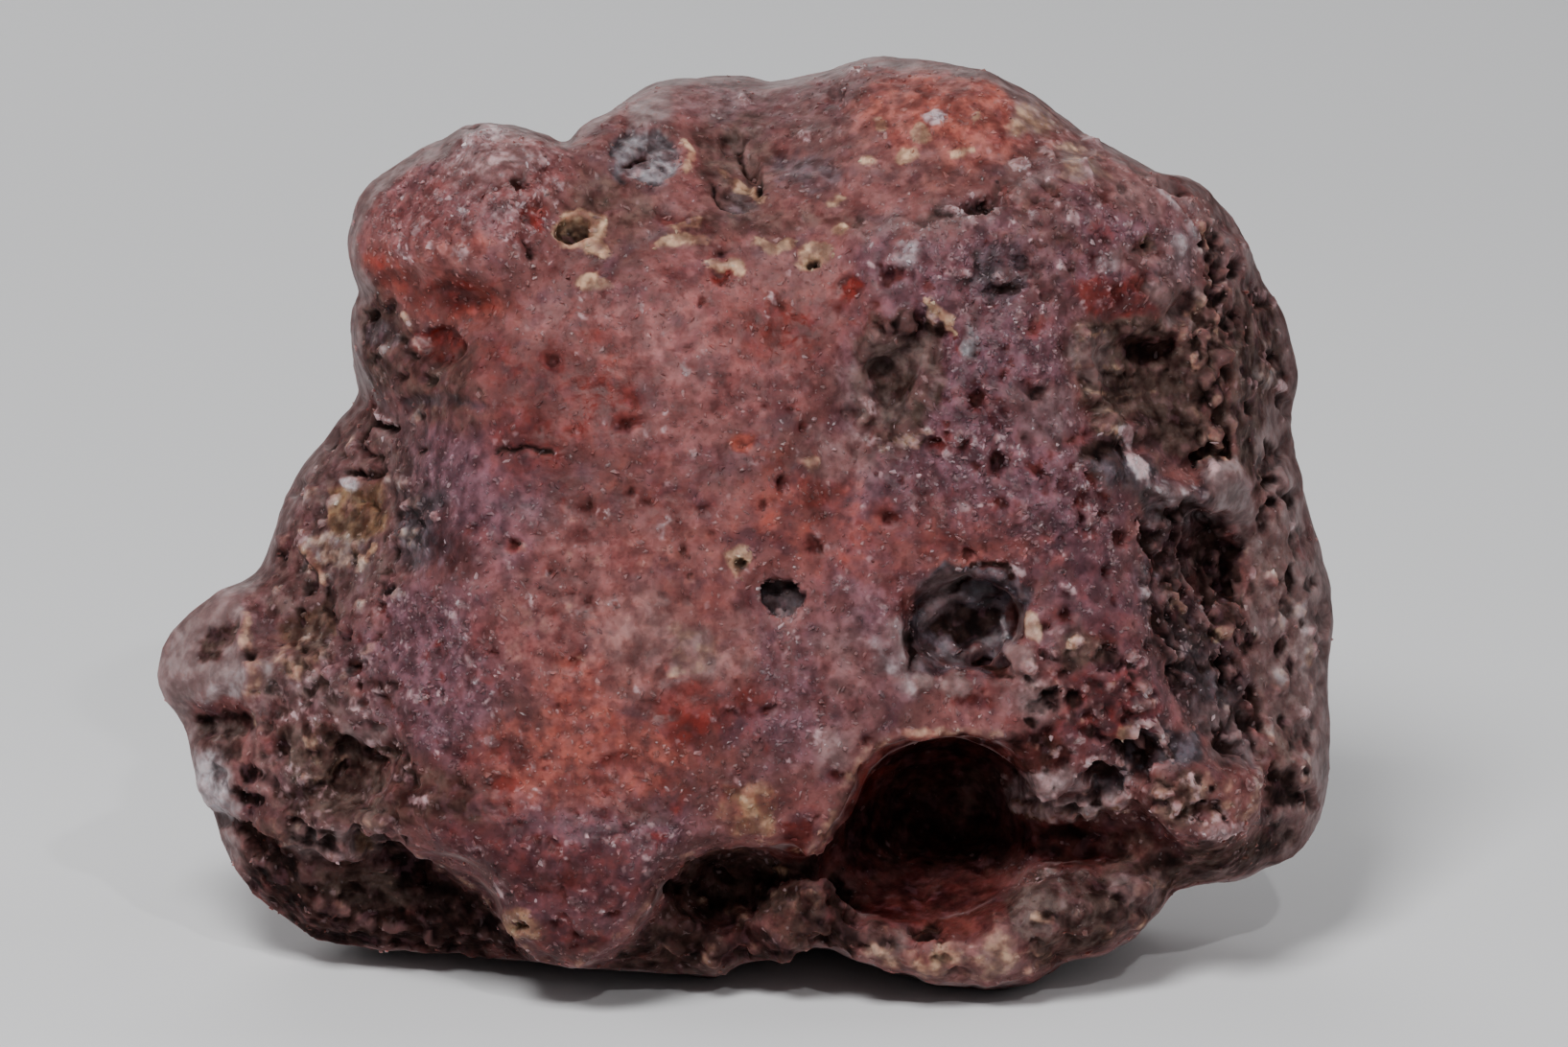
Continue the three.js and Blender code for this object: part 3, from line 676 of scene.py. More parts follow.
    patch("560,690 700,670 760,700 740,790 640,830 520,850 500,790 560,740", 10, 50, iron=50, rose=40),
    patch("560,350 640,350 680,400 650,440 570,430", -15, 34, blood=45, iron=35),
    patch("790,470 880,500 940,540 1060,540 1090,590 960,590 860,600 780,560", 0, 44, iron=40, blood=20),
    patch("600,480 700,470 760,560 780,680 700,660 620,560", -10, 50, clay=20, iron=20),
    patch("760,650 860,660 900,720 880,760 800,800 740,760", 10, 40, lilac=60, sugar=70),
    patch("1030,210 1110,190 1130,280 1090,340 1060,300", 0, 30, clay=40, iron=15),
)

# hollows that are filled up to a floor, each with how far that floor lies behind the calmed front, in mm
FLOORS: tuple[tuple[Mark, float], ...] = (
    (patch("945,618 975,590 1040,584 1072,610 1066,655 1030,700 965,702 944,668", 0, 10), 0.3),
    (patch("876,900 1050,880 1056,935 884,950", 0, 30), 1.6),
    (patch("880,932 950,920 1050,904 1084,925 1060,1000 940,1004 880,980", 0, 40), -0.4),
    (patch("1062,848 1150,846 1200,862 1200,898 1120,906 1064,900", 0, 14), 0.9),
)

# where the sharp inner edge of the cave's lip is worn round
WORN_EDGE = patch("884,930 960,930 1040,896 1150,884 1176,915 1090,950 1036,990 940,996 884,984", 0, 16)

# broad soft stains that run over the forms, each laid over the last: first the large ones of the cave, the slopes and
# the rose, then smaller ones that make one place paler, redder or darker; some of the dark ones, in the cave and along
# the foot, are painted shade
WASHES: tuple[Mark, ...] = (
    # painted shade inside the cave
    patch("884,800 930,768 1034,772 1048,850 1052,915 960,932 884,918 860,884", 0, 22, 30, soot=50, wine=80),
    patch("880,830 896,792 930,768 990,766 950,784 915,812 900,846", 0, 14, 60, iron=100, blood=70),
    patch("500,352 590,348 640,400 640,450 600,500 530,500 486,430", 0, 40, 50, blood=40, wine=45, iron=12, rose=20),
    oval(690, 386, 40, 44, 0, 0, 40, 40, rose=95, rind=15),
    patch("400,790 480,800 560,850 640,880 700,900 660,950 560,960 500,900 430,880", 0, 40, 20, wine=45, blood=20),
    patch("256,650 340,700 430,760 440,870 320,880 262,790", 0, 30, 35, clay=50, rind=30, lilac=30),
    oval(430, 822, 34, 30, 0, 0, 24, 50, wine=55, clay=30),
    patch("630,630 690,600 780,640 776,720 700,744 640,714", 0, 32, 60, rose=95, rind=50, iron=50),
    oval(825, 338, 64, 26, -8, 0, 40, 30, blood=40, iron=40),
    patch("740,200 880,205 900,246 800,262 700,250", 0, 34, 30, clay=55),
    oval(636, 222, 50, 34, 0, 0, 30, 40, clay=65, iron=20),
    oval(722, 728, 48, 26, -10, 0, 26, 40, blood=50, iron=50),
    oval(1224, 268, 26, 38, -15, 0, 24, 40, rind=40, lilac=70),
    # the pale top of the lobe: partly pale crust, partly painted highlight
    oval(524, 172, 54, 26, -15, 0, 26, 50, rose=95, rind=55, frost=35),
    oval(478, 388, 36, 24, 20, 0, 24, 30, wine=50, blood=40),
    oval(672, 528, 50, 24, 0, 0, 36, 30, blood=40, wine=25),
    oval(474, 580, 32, 36, 0, 0, 30, 30, wine=50, slate=30),
    oval(470, 424, 44, 26, 0, 0, 26, 40, clay=60, wine=40),
    # the right wall's edge painted paler: partly worn rind, partly painted light where the lamps reach it little
    streak("1338,410 1340,500 1352,550", 15, 0, 16, 60, rind=95),
    oval(1280, 524, 22, 26, -30, 0, 16, 60, rind=90, milk=15),
    patch("1046,88 1112,124 1130,160 1056,158", 0, 24, 70, rose=90, rind=40, iron=60, frost=30),
    patch("1100,160 1150,160 1200,196 1196,236 1130,214 1104,190", 0, 24, 50, rose=80, rind=45),
    oval(476, 280, 44, 24, -10, 0, 22, 40, rose=95, iron=40, rind=25),
    oval(880, 424, 24, 44, 0, 0, 26, 40, rind=40, lilac=50),
    patch("1200,620 1240,640 1290,700 1306,790 1266,796 1226,740", 0, 24, 25, slate=75, lilac=30, rind=15),
    oval(1280, 286, 26, 40, -15, 0, 22, 30, rind=45, lilac=40),
    oval(1072, 726, 34, 28, 0, 0, 22, 60, rose=60, lilac=40, rind=60),
    patch("286,745 400,750 466,800 476,850 400,862 300,850", 0, 24, 50, clay=80, wine=40),
    patch("296,856 400,856 414,886 320,896", 0, 16, 70, rind=60, clay=55, lilac=40),
    patch("330,905 430,896 456,950 350,958", 0, 24, 50, clay=95),
    patch("952,612 984,596 1010,594 1004,616 966,630", 0, 12, 20, slate=70, rind=90, lilac=30),
    patch("1056,808 1100,800 1170,808 1168,838 1090,844 1050,832", 0, 14, 60, rind=95, frost=40),
    # painted shade along the foot
    patch("744,958 800,966 840,985 800,1000 744,1004", 0, 14, 50, soot=75, wine=50),
    patch("690,596 750,600 770,660 730,690 700,650", 0, 24, 30, blood=35, wine=25),
    patch("690,690 760,700 770,750 720,770 680,740", 0, 22, 30, blood=75, iron=30),
    patch("420,352 500,372 500,450 440,452 408,400", 0, 22, 40, clay=55, wine=50, blood=20),
    patch("406,790 500,800 510,850 410,860", 0, 18, 50, wine=75, clay=50, lilac=40),
    # painted shade along the foot at the left
    patch("390,944 480,950 546,990 396,992", 0, 12, 60, soot=100),
    patch("906,400 962,396 964,450 920,458", 0, 14, 40, clay=90, soot=30),
    patch("892,350 976,350 976,396 900,398", 0, 12, 50, clay=80, rind=35),
    patch("1240,730 1300,740 1306,796 1256,790", 0, 18, 50, slate=60, rind=50, lilac=30),
    patch("1176,500 1250,516 1250,550 1190,546", 0, 14, 30, slate=80, rind=40, lilac=40),
    patch("1196,306 1250,300 1252,344 1206,342", 0, 14, 40, clay=60, rind=50),
    patch("1040,396 1106,400 1110,460 1048,460", 0, 20, 40, lilac=80, rind=40),
    patch("204,752 256,752 258,794 214,794", 0, 10, 60, clay=80, soot=40, rind=30),
    patch("290,752 350,752 352,800 296,800", 0, 16, 50, clay=80, wine=50),
    patch("356,752 410,756 410,776 360,774", 0, 10, 50, rind=60, rose=40),
    patch("1092,654 1150,650 1160,690 1100,700", 0, 18, 40, clay=60, wine=40, lilac=30),
    patch("1044,930 1096,904 1104,960 1056,984", 0, 14, 70, clay=95, wine=50, rind=30),
    patch("1096,966 1150,950 1150,980 1090,1002", 0, 14, 40, clay=70, wine=60),
    patch("1150,912 1206,902 1206,944 1156,950", 0, 12, 40, rind=50, clay=50, rose=30),
    patch("1096,806 1150,802 1152,842 1100,846", 0, 12, 40, rind=80, milk=30, lilac=30),
    patch("1050,104 1104,108 1104,146 1050,146", 0, 12, 40, rose=60, rind=75, cream=55),
    patch("950,604 996,600 996,650 954,650", 0, 12, 30, lilac=80, slate=40, rind=40),
    patch("700,650 750,650 750,702 700,702", 0, 12, 50, rose=100, iron=50, rind=60, cream=30),
    patch("904,654 950,700 904,700", 0, 14, 30, lilac=80, rind=50, milk=30),
    patch("598,400 652,400 652,450 598,450", 0, 14, 30, blood=85, wine=30),
    # painted shadow under the cave's roof
    patch("900,796 936,764 1000,762 1048,774 1046,796 990,790 940,794", 0, 8, 70, blood=80, soot=50, wine=80),
    patch("896,950 950,962 946,1000 900,992", 0, 12, 40, clay=75, rind=50),
    # painted shade along the foot at the left
    patch("344,946 400,950 404,990 360,984", 0, 10, 50, soot=95),
    patch("1100,154 1150,158 1150,198 1100,198", 0, 14, 30, rind=70, cream=35, rose=40),
    patch("1102,354 1150,354 1150,398 1104,398", 0, 14, 20, rind=55, rose=30),
    patch("850,452 902,452 902,500 850,500", 0, 18, 20, rind=45, rose=50),
    patch("850,752 896,752 884,796 852,800", 0, 18, 20, rind=50, rose=50),
    patch("1000,796 1044,796 1048,850 1004,850", 0, 14, 80, wine=70, clay=50),
    patch("650,104 700,92 710,130 660,140", 0, 16, 40, rind=75, lilac=30),
    patch("1306,750 1350,750 1350,800 1310,800", 0, 14, 40, clay=75),
    oval(224, 822, 22, 34, -12, 0, 16, 50, milk=85, rind=50),
    patch("1200,752 1244,756 1254,790 1216,800 1196,786", 0, 18, 50, slate=80, clay=50, lilac=40),
    oval(622, 424, 40, 30, 0, 0, 24, 30, blood=60, wine=30),
    patch("1180,384 1250,390 1256,470 1206,480 1176,440", 0, 18, 30, clay=90, soot=45, wine=30),
    patch("1238,545 1276,540 1296,600 1290,656 1252,650 1234,600", 0, 18, 60, soot=85, clay=50),
    patch("296,650 350,644 356,690 310,704", 0, 14, 30, clay=70, ochre=30),
    patch("1254,496 1300,500 1312,546 1276,548", 0, 16, 50, rind=75, slate=50, lilac=40),
    # painted shade along the foot
    patch("700,950 760,960 770,990 710,994", 0, 16, 40, soot=80, wine=50),
    # painted shade along the foot
    oval(872, 976, 26, 28, 0, 0, 14, 80, soot=85, clay=70, wine=50),
    oval(1122, 822, 34, 14, 0, 0, 18, 30, rind=50, lilac=40),
    oval(878, 690, 26, 40, 0, 0, 26, 40, rose=50, rind=40, lilac=50),
    oval(940, 408, 18, 26, 0, 0, 18, 20, clay=80, soot=30),
    # painted shade along the foot
    oval(780, 972, 40, 14, 0, 0, 16, 40, soot=70, wine=50),
    # the right wall painted paler: partly worn rind, partly painted light where the lamps reach it little
    oval(1326, 466, 22, 62, 0, 0, 18, 50, rind=80, clay=40),
    oval(1176, 274, 30, 16, 0, 0, 16, 30, rose=50, rind=40, lilac=40),
    oval(1222, 318, 22, 14, 0, 0, 14, 30, rind=40, clay=40),
    oval(822, 342, 44, 26, -8, 0, 26, 40, blood=60, wine=30),
    oval(778, 728, 26, 20, 0, 0, 22, 40, wine=50, blood=40),
    oval(1222, 828, 34, 32, 0, 0, 18, 40, clay=70, wine=40),
    # painted shade on the cave floor
    patch("892,925 960,915 1045,905 1052,940 1030,962 960,972 900,958", 0, 26, 60, wine=95, soot=35),
    oval(984, 956, 48, 14, 4, 0, 16, 30, iron=50, wine=50),
)

# single pits, flecks, rings, beads and glints; the dark in the pits is painted shade and the glints are painted
# highlights
FINE_MARKS: tuple[Mark, ...] = (
    # the lobe and the skin below it
    oval(548, 197, 13, 11, 0, -60, 9, soot=60, blood=40),
    oval(563, 233, 15, 12, 0, -25, 12, blood=85),
    streak("551,259 560,272", 3, -35, 5, soot=70),
    # the pale top of the lobe: partly pale crust, partly painted highlight
    oval(510, 146, 26, 10, -12, 15, 16, frost=90, milk=50),
    oval(431, 271, 9, 4, 30, 10, 5, frost=90),
    oval(490, 270, 7, 4, 10, 10, 5, frost=90),
    oval(478, 312, 24, 15, -20, -15, 16, blood=85, iron=50),
    oval(430, 295, 18, 12, 15, -15, 14, blood=55, iron=60),
    oval(389, 332, 9, 5, -35, -35, 6, soot=85),
    oval(410, 328, 8, 5, 30, -30, 6, soot=75),
    oval(400, 350, 22, 16, 0, -15, 12, slate=50, soot=30),
    streak("424,332 436,344", 4, 20, 5, cream=60, frost=40),
    oval(437, 373, 10, 8, 0, -45, 6, soot=55, clay=40),
    oval(455, 398, 9, 7, 0, -35, 6, soot=40, clay=40),
    oval(468, 362, 22, 17, 20, -40, 10, blood=90, soot=15),
    # the left shelf
    streak("430,420 470,418 505,428", 6, -20, 10, lilac=80, slate=40),
    streak("396,440 420,450", 4, -60, 5, soot=100),
    streak("397,433 413,440", 2.5, 25, 4, frost=90),
    streak("388,446 380,462 386,474 398,476", 3, -35, 5, soot=80),
    oval(370, 493, 13, 5, 12, -45, 5, soot=95),
    oval(368, 506, 11, 4, 25, 15, 5, milk=90),
    streak("378,520 392,526 400,532", 3, -30, 5, soot=60),
    oval(433, 527, 6, 5, 0, 25, 4, frost=90),
    oval(462, 538, 6, 5, 0, 25, 4, frost=80),
    oval(422, 567, 6, 7, 0, 20, 5, frost=50, slate=30),
    oval(323, 562, 9, 7, 0, 25, 6, frost=60, cream=30),
    streak("372,580 388,586 400,574", 3, 25, 5, cream=90),
    streak("324,572 332,590 340,608", 3.5, 25, 6, cream=70),
    streak("530,472 556,466 580,472", 4, -40, 6, soot=75, slate=30),
    streak("580,468 588,478", 2, 10, 4, frost=50),
    oval(265, 682, 8, 6, 0, -40, 5, soot=80),
    oval(378, 862, 10, 9, 0, -60, 6, soot=90),
    oval(360, 884, 14, 9, -15, 35, 7, frost=70, cream=40),
    oval(385, 880, 8, 6, 0, 30, 5, cream=70),
    oval(330, 808, 8, 8, 0, 30, 6, cream=40, frost=30),
    oval(548, 958, 20, 14, 25, 25, 8, ochre=70, cream=30),
    oval(550, 959, 7, 6, 0, -60, 4, soot=90),
    # the main face
    oval(775, 464, 13, 9, -15, -35, 8, iron=90, blood=30),
    oval(772, 580, 13, 12, 0, 5, 7, cream=75, ochre=20),
    oval(774, 586, 7, 6, 0, -50, 4, soot=80),
    oval(817, 622, 20, 17, 12, -90, 9, slate=60, clay=70, soot=35),
    oval(806, 612, 10, 7, 20, -40, 6, soot=60),
    oval(700, 696, 20, 9, -25, -25, 8, blood=80),
    oval(688, 734, 16, 8, 20, -25, 8, blood=70),
    oval(640, 792, 24, 8, -8, -20, 8, blood=55),
    oval(528, 812, 20, 10, 0, -20, 8, blood=50),
    oval(596, 690, 12, 9, 0, -20, 8, iron=60, blood=30),
    # the top band
    patch("640,165 652,138 690,140 712,160 706,186 680,198 648,186", -30, 10, 90, milk=30, slate=80),
    streak("652,146 672,166 704,158", 3, 10, 4, milk=42),
    streak("674,140 676,168 690,190", 3, 10, 4, milk=42),
    streak("700,178 678,168 662,192", 3, 10, 4, milk=70),
    streak("652,140 642,158 642,180 654,194", 3, -20, 5, slate=70, soot=30),
    streak("655,174 664,168 676,166", 3.2, -35, 4, 80, soot=90, slate=30),
    streak("716,152 722,166 714,184", 4, 5, 6, cream=80),
    oval(765, 152, 10, 14, 5, -50, 8, clay=80, soot=45),
    oval(785, 184, 9, 14, 15, -50, 8, clay=60, ochre=40, soot=45),
    patch("730,135 790,120 815,160 800,215 745,225 725,190", 0, 24, 50, clay=60, rind=20),
    streak("772,160 778,176 790,190 792,204", 3.5, -30, 4, soot=90),
    streak("744,198 748,214 762,222", 3, -30, 4, soot=80),
    streak("768,196 786,204 796,212", 3, 5, 5, cream=80),
    streak("752,182 762,192", 2.5, 5, 4, cream=60),
    oval(770, 212, 24, 14, 5, -30, 10, slate=40, clay=50, soot=20),
    patch("806,168 850,160 880,180 872,206 815,206", -20, 26, slate=55, lilac=30),
    oval(608, 244, 26, 22, 15, 15, 8, cream=75, ochre=25),
    oval(604, 246, 17, 13, -8, -70, 7, clay=80, soot=60),
    oval(628, 268, 13, 9, 30, 25, 7, cream=80, ochre=40),
    oval(622, 300, 14, 8, 0, 5, 7, cream=95),
    streak("690,262 712,256 735,258", 5, 5, 6, cream=95),
    streak("708,244 730,240", 4.5, 5, 6, cream=85),
    oval(700, 232, 18, 10, 15, -30, 10, blood=60, soot=35),
    streak("742,284 768,282 772,290", 5, 5, 6, cream=80),
    oval(752, 294, 14, 7, 0, -35, 7, blood=70, soot=30),
    streak("792,258 806,268 824,264", 6, 5, 6, cream=95),
    oval(848, 278, 16, 13, -20, 5, 6, cream=85),
    oval(849, 282, 7, 5, 0, -50, 4, soot=90),
    oval(858, 266, 8, 6, 0, 5, 5, cream=90),
    oval(873, 243, 8, 7, 0, 5, 5, cream=80),
    streak("864,218 876,212", 3.5, 5, 5, cream=70),
    oval(915, 137, 8, 9, 0, 5, 6, cream=95),
    oval(958, 146, 8, 12, -20, 5, 6, cream=85),
    oval(940, 168, 11, 7, -10, 5, 6, cream=90),
    oval(905, 174, 6, 5, 0, 5, 5, cream=60),
    streak("992,168 1012,166", 3.5, 5, 6, cream=60, ochre=20),
    oval(973, 127, 12, 8, 0, 10, 5, frost=100, milk=80),
    oval(1016, 131, 5, 4, 0, 15, 4, cream=90),
    oval(838, 146, 9, 8, 0, 20, 7, frost=50),
    oval(776, 107, 6, 8, 0, 20, 6, frost=40),
    oval(892, 78, 12, 8, 0, 20, 8, frost=40, rose=30),
    oval(872, 102, 7, 10, 0, -30, 7, soot=30, lilac=50),
    oval(882, 306, 13, 13, 0, -20, 8, blood=85),
    oval(822, 350, 22, 13, -15, -15, 12, blood=65, iron=20),
    oval(806, 318, 5, 5, 0, 20, 4, frost=80),
    # the right hand mass
    oval(1048, 212, 12, 9, 15, 10, 6, blood=90, iron=40),
    oval(1016, 220, 18, 8, -15, -50, 7, soot=80),
    oval(990, 228, 12, 5, 0, 25, 5, frost=90),
    oval(1060, 180, 8, 6, 20, 25, 5, frost=80, cream=30),
    oval(1086, 168, 9, 5, 20, 20, 5, frost=80, cream=50),
    oval(1140, 160, 7, 7, 0, 25, 4, frost=100),
    oval(1138, 150, 8, 9, 20, 15, 6, frost=50, cream=30),
    streak("1126,176 1134,196", 4, 20, 5, frost=70),
    oval(1218, 200, 18, 9, 8, -60, 8, soot=80),
    oval(1186, 180, 12, 8, 35, -30, 8, clay=50, soot=30),
    streak("1195,208 1216,220 1232,238 1246,262", 4, 25, 7, milk=50, lilac=30),
    oval(1190, 262, 14, 11, -20, -45, 7, clay=50, ochre=40, soot=30),
    oval(1194, 262, 5, 5, 0, -40, 4, soot=90),
    oval(1150, 278, 14, 12, 0, 15, 8, milk=40, lilac=50),
    oval(1222, 262, 10, 14, 20, 15, 7, milk=40, lilac=50),
    oval(1040, 306, 24, 6, -5, -30, 6, soot=70),
    oval(945, 272, 16, 14, 0, 15, 12, milk=40, lilac=60),
    oval(1008, 362, 6, 16, 10, 20, 8, milk=70, slate=20),
    oval(966, 338, 8, 9, -30, 25, 5, cream=60, frost=40),
    oval(844, 486, 12, 9, -20, 20, 7, cream=50, clay=20),
    oval(1262, 492, 3, 6, 10, 20, 4, frost=80),
    oval(1188, 617, 6, 7, 0, 35, 5, milk=80, frost=30),
    streak("1214,610 1219,622 1225,636", 3, 30, 4, cream=70),
    oval(1272, 656, 8, 13, 10, 30, 8, cream=35, rose=30),
    oval(1322, 604, 7, 10, 0, 30, 6, cream=40, milk=30),
    # the right flank
    oval(1285, 282, 8, 12, 20, -50, 6, soot=90),
    oval(1335, 418, 7, 9, 0, -45, 5, soot=85),
    oval(1331, 402, 8, 8, 0, 25, 5, frost=90),
    oval(1298, 428, 5, 7, 0, -40, 4, soot=80),
    oval(1322, 505, 7, 6, 0, -40, 5, soot=80),
    oval(1323, 526, 8, 6, 0, -45, 5, soot=85),
    oval(1382, 676, 6, 9, 0, -35, 5, soot=80),
    oval(1283, 688, 7, 7, 0, -40, 5, soot=70),
    oval(1322, 602, 6, 8, 0, 20, 5, cream=60, frost=30),
    oval(1262, 662, 7, 9, 0, 25, 5, cream=60),
    oval(1250, 838, 22, 11, -8, -45, 8, clay=40, iron=30, soot=30),
    oval(1266, 860, 24, 7, -6, 30, 7, frost=80, cream=30),
    # the lower right
    patch("1120,800 1134,784 1160,786 1174,760 1192,752 1208,768 1204,792 1180,800 1168,822 1138,828", -45, 8, 85,
        slate=100, soot=35),
    oval(1144, 806, 17, 14, 0, -50, 7, 60, soot=85),
    oval(1186, 778, 15, 13, 0, -50, 7, 60, soot=85),
    streak("1160,790 1172,796 1170,812", 4, 30, 5, 60, slate=80, rind=40),
    streak("1124,792 1136,782 1150,783", 2.5, 25, 4, frost=100, cream=50),
    streak("1172,760 1184,750 1198,753", 2.5, 25, 4, frost=100, cream=50),
    streak("1200,756 1208,770 1213,788", 3, 25, 4, frost=100, cream=40),
    streak("1124,832 1150,834 1172,826", 3, 25, 5, frost=90, cream=60),
    oval(1168, 760, 9, 7, 0, 25, 6, cream=80),
    oval(1117, 668, 8, 7, 0, 25, 5, cream=60, frost=50),
    oval(1140, 665, 20, 12, 0, -15, 10, iron=50, blood=40),
    oval(955, 760, 22, 6, 8, 15, 6, iron=70, cream=25),
    oval(1105, 866, 38, 9, 4, -30, 10, soot=60, wine=80),
    oval(816, 902, 7, 6, 0, 30, 5, cream=80),
)

# pits of the front: across, down, half width, half height, depth and how black, the black being painted shade inside
# the pit
PITS: tuple[tuple[float, ...], ...] = (
    (545, 386, 14, 10, 0.5, 0.0), (583, 382, 7, 7, 0.6, 0.5), (567, 445, 8, 12, 0.6, 0.0),
    (541, 569, 6, 6, 0.6, 0.7), (500, 552, 9, 7, 0.4, 0.3), (370, 690, 9, 7, 0.4, 0.5),
    (350, 684, 7, 6, 0.35, 0.4), (604, 968, 6, 5, 0.35, 0.4), (735, 532, 12, 8, 0.55, 0.4),
    (618, 529, 6, 5, 0.45, 0.4), (663, 518, 6, 5, 0.45, 0.4), (676, 528, 5, 5, 0.4, 0.3),
    (816, 506, 7, 8, 0.55, 0.6), (837, 448, 6, 7, 0.5, 0.6), (918, 535, 13, 9, 0.5, 0.2),
    (519, 676, 6, 6, 0.5, 0.4), (720, 604, 6, 5, 0.45, 0.3), (582, 595, 5, 5, 0.4, 0.3),
    (582, 640, 5, 6, 0.4, 0.3), (744, 556, 6, 5, 0.4, 0.3), (714, 575, 5, 6, 0.4, 0.3),
    (798, 526, 6, 6, 0.45, 0.4), (825, 427, 6, 5, 0.4, 0.3), (717, 697, 7, 6, 0.45, 0.0),
    (711, 718, 8, 6, 0.4, 0.0), (765, 739, 7, 6, 0.45, 0.3), (585, 733, 6, 5, 0.4, 0.1),
    (619, 628, 5, 6, 0.4, 0.3), (600, 619, 5, 4, 0.35, 0.2), (694, 623, 6, 5, 0.4, 0.3),
    (750, 268, 9, 7, 0.45, 0.5), (888, 240, 8, 7, 0.5, 0.3), (872, 326, 10, 7, 0.5, 0.5),
    (815, 326, 9, 7, 0.45, 0.4), (1017, 422, 9, 11, 0.65, 0.8), (1079, 412, 9, 8, 0.55, 0.6),
    (999, 470, 7, 7, 0.5, 0.6), (981, 457, 6, 6, 0.45, 0.4), (1034, 484, 10, 11, 0.65, 0.8),
    (1038, 527, 12, 9, 0.6, 0.6), (1124, 526, 8, 8, 0.5, 0.5), (1145, 535, 6, 6, 0.45, 0.4),
    (1070, 487, 6, 6, 0.4, 0.3), (1062, 460, 6, 6, 0.4, 0.3), (1130, 556, 7, 6, 0.5, 0.5),
    (1145, 595, 8, 7, 0.5, 0.4), (1045, 398, 6, 7, 0.45, 0.4), (1072, 352, 6, 6, 0.4, 0.3),
    (1110, 460, 10, 7, 0.5, 0.5), (1030, 693, 7, 6, 0.5, 0.8), (1107, 640, 8, 7, 0.45, 0.7),
    (1080, 905, 8, 7, 0.5, 0.5), (1112, 925, 6, 6, 0.4, 0.4), (990, 1005, 5, 4, 0.3, 0.4),
)

# the zones that are strewn with small marks
FLANK = ("1252,236 1300,256 1336,330 1352,392 1346,470 1366,545 1386,640 1382,740 1372,850 1330,890 1300,800 "
    "1230,700 1190,560 1250,565 1314,545 1308,488 1280,470 1270,330")
CRUST = "1186,520 1232,530 1262,540 1290,640 1310,790 1270,800 1226,740 1178,600"
RIDGE = "1238,236 1262,244 1280,300 1276,380 1284,490 1240,484 1238,420 1224,340 1250,300"
LOW_LEFT = "200,770 330,740 436,860 470,908 556,990 330,980 250,900 214,830"
SHELF = "300,520 366,430 430,300 480,420 440,600 400,700 330,720 280,620"
UNDER = ("700,920 730,888 846,892 900,960 1000,960 1080,940 1210,905 1205,948 1110,996 1064,1012 1070,958 1004,966 "
    "1000,1014 900,998 770,1000 690,1000")
CRYSTAL_RIM = "1040,800 1120,800 1160,830 1230,800 1290,830 1280,866 1200,850 1110,852 1062,846"
LEFT_CRUMBS = "272,690 330,690 420,700 440,760 430,870 380,895 300,850 256,780"
DRUSE_LEFT = "300,700 420,600 520,640 560,760 700,840 700,900 600,960 480,900 420,800 330,760"
DRUSE_RIGHT = ("890,255 1110,190 1215,210 1250,260 1230,320 1120,340 1110,460 1180,560 1200,680 1060,600 960,560 "
    "900,470")
LOBE = "385,225 470,165 560,150 590,200 560,270 470,285 400,265"
MIDDLE = "560,300 760,290 880,380 960,560 900,760 760,820 560,720 480,520"
MAROON = "1050,690 1120,660 1190,680 1215,760 1240,800 1190,830 1070,780"

# beads, crumbs and glints stand out, pits, gaps and slits are sunk; the glints are painted highlights and the black in
# pits, gaps and slits is painted shade
FIELDS: tuple[Field, ...] = (
    field_of(FLANK, 70, 3, 9, 25, 95, 2.6, cream=30, milk=30, clay=30),
    field_of(FLANK, 100, 3, 8, -45, 95, 3, soot=85, clay=20),
    field_of(FLANK, 34, 2.5, 6, 25, 95, 1.6, frost=75),
    field_of(CRUST, 70, 2.5, 7, -50, 68, 4, soot=100),
    field_of(CRUST, 40, 2.5, 6, 25, 68, 3, slate=60, milk=30),
    field_of(RIDGE, 70, 2.5, 7, 35, 80, 1.6, cream=50, rind=40),
    field_of(RIDGE, 80, 2.5, 8, -45, 80, 2, soot=95),
    field_of(LOW_LEFT, 26, 5, 15, 30, 20, 2.2, cream=20, clay=70),
    field_of(LOW_LEFT, 40, 4, 14, -45, 20, 2.2, soot=90),
    field_of(SHELF, 42, 3, 8, 30, -50, 1.8, cream=34, milk=30),
    field_of(LEFT_CRUMBS, 70, 3, 8, -35, 20, 1.9, wine=90, soot=60),
    field_of(LEFT_CRUMBS, 60, 1.6, 4, 12, 40, 2.4, frost=90),
    field_of(SHELF, 52, 3, 8, -45, -50, 1.9, soot=75, blood=35),
    field_of(UNDER, 40, 4, 10, 35, 15, 1.8, cream=32, clay=40),
    field_of(UNDER, 40, 3, 9, -45, 15, 2, soot=85, blood=30),
    field_of(CRYSTAL_RIM, 80, 2, 4.2, 16, 0, 1.8, frost=80, cream=50),
    field_of(CRYSTAL_RIM, 40, 2.5, 6, -35, 0, 1.8, soot=90),
    field_of(MAROON, 60, 3, 9, -45, 30, 1.8, soot=85, blood=40),
    field_of(MAROON, 60, 2.5, 7, 35, 30, 1.5, frost=60, cream=25),
    field_of(DRUSE_LEFT, 120, 1.5, 4, 8, 40, 2.6, frost=90),
    field_of(LOBE, 36, 1.8, 5, 8, 60, 2.6, frost=90),
    field_of(MIDDLE, 80, 1.5, 3.6, 6, 60, 2.6, frost=80),
    field_of(DRUSE_LEFT, 110, 2.5, 7, -30, 30, 1.8, blood=60, soot=45),
    field_of(DRUSE_RIGHT, 110, 1.5, 4, 8, 50, 2.6, frost=90),
    field_of(DRUSE_RIGHT, 90, 3, 9, -35, 60, 1.5, wine=85, soot=30, blood=20),
)


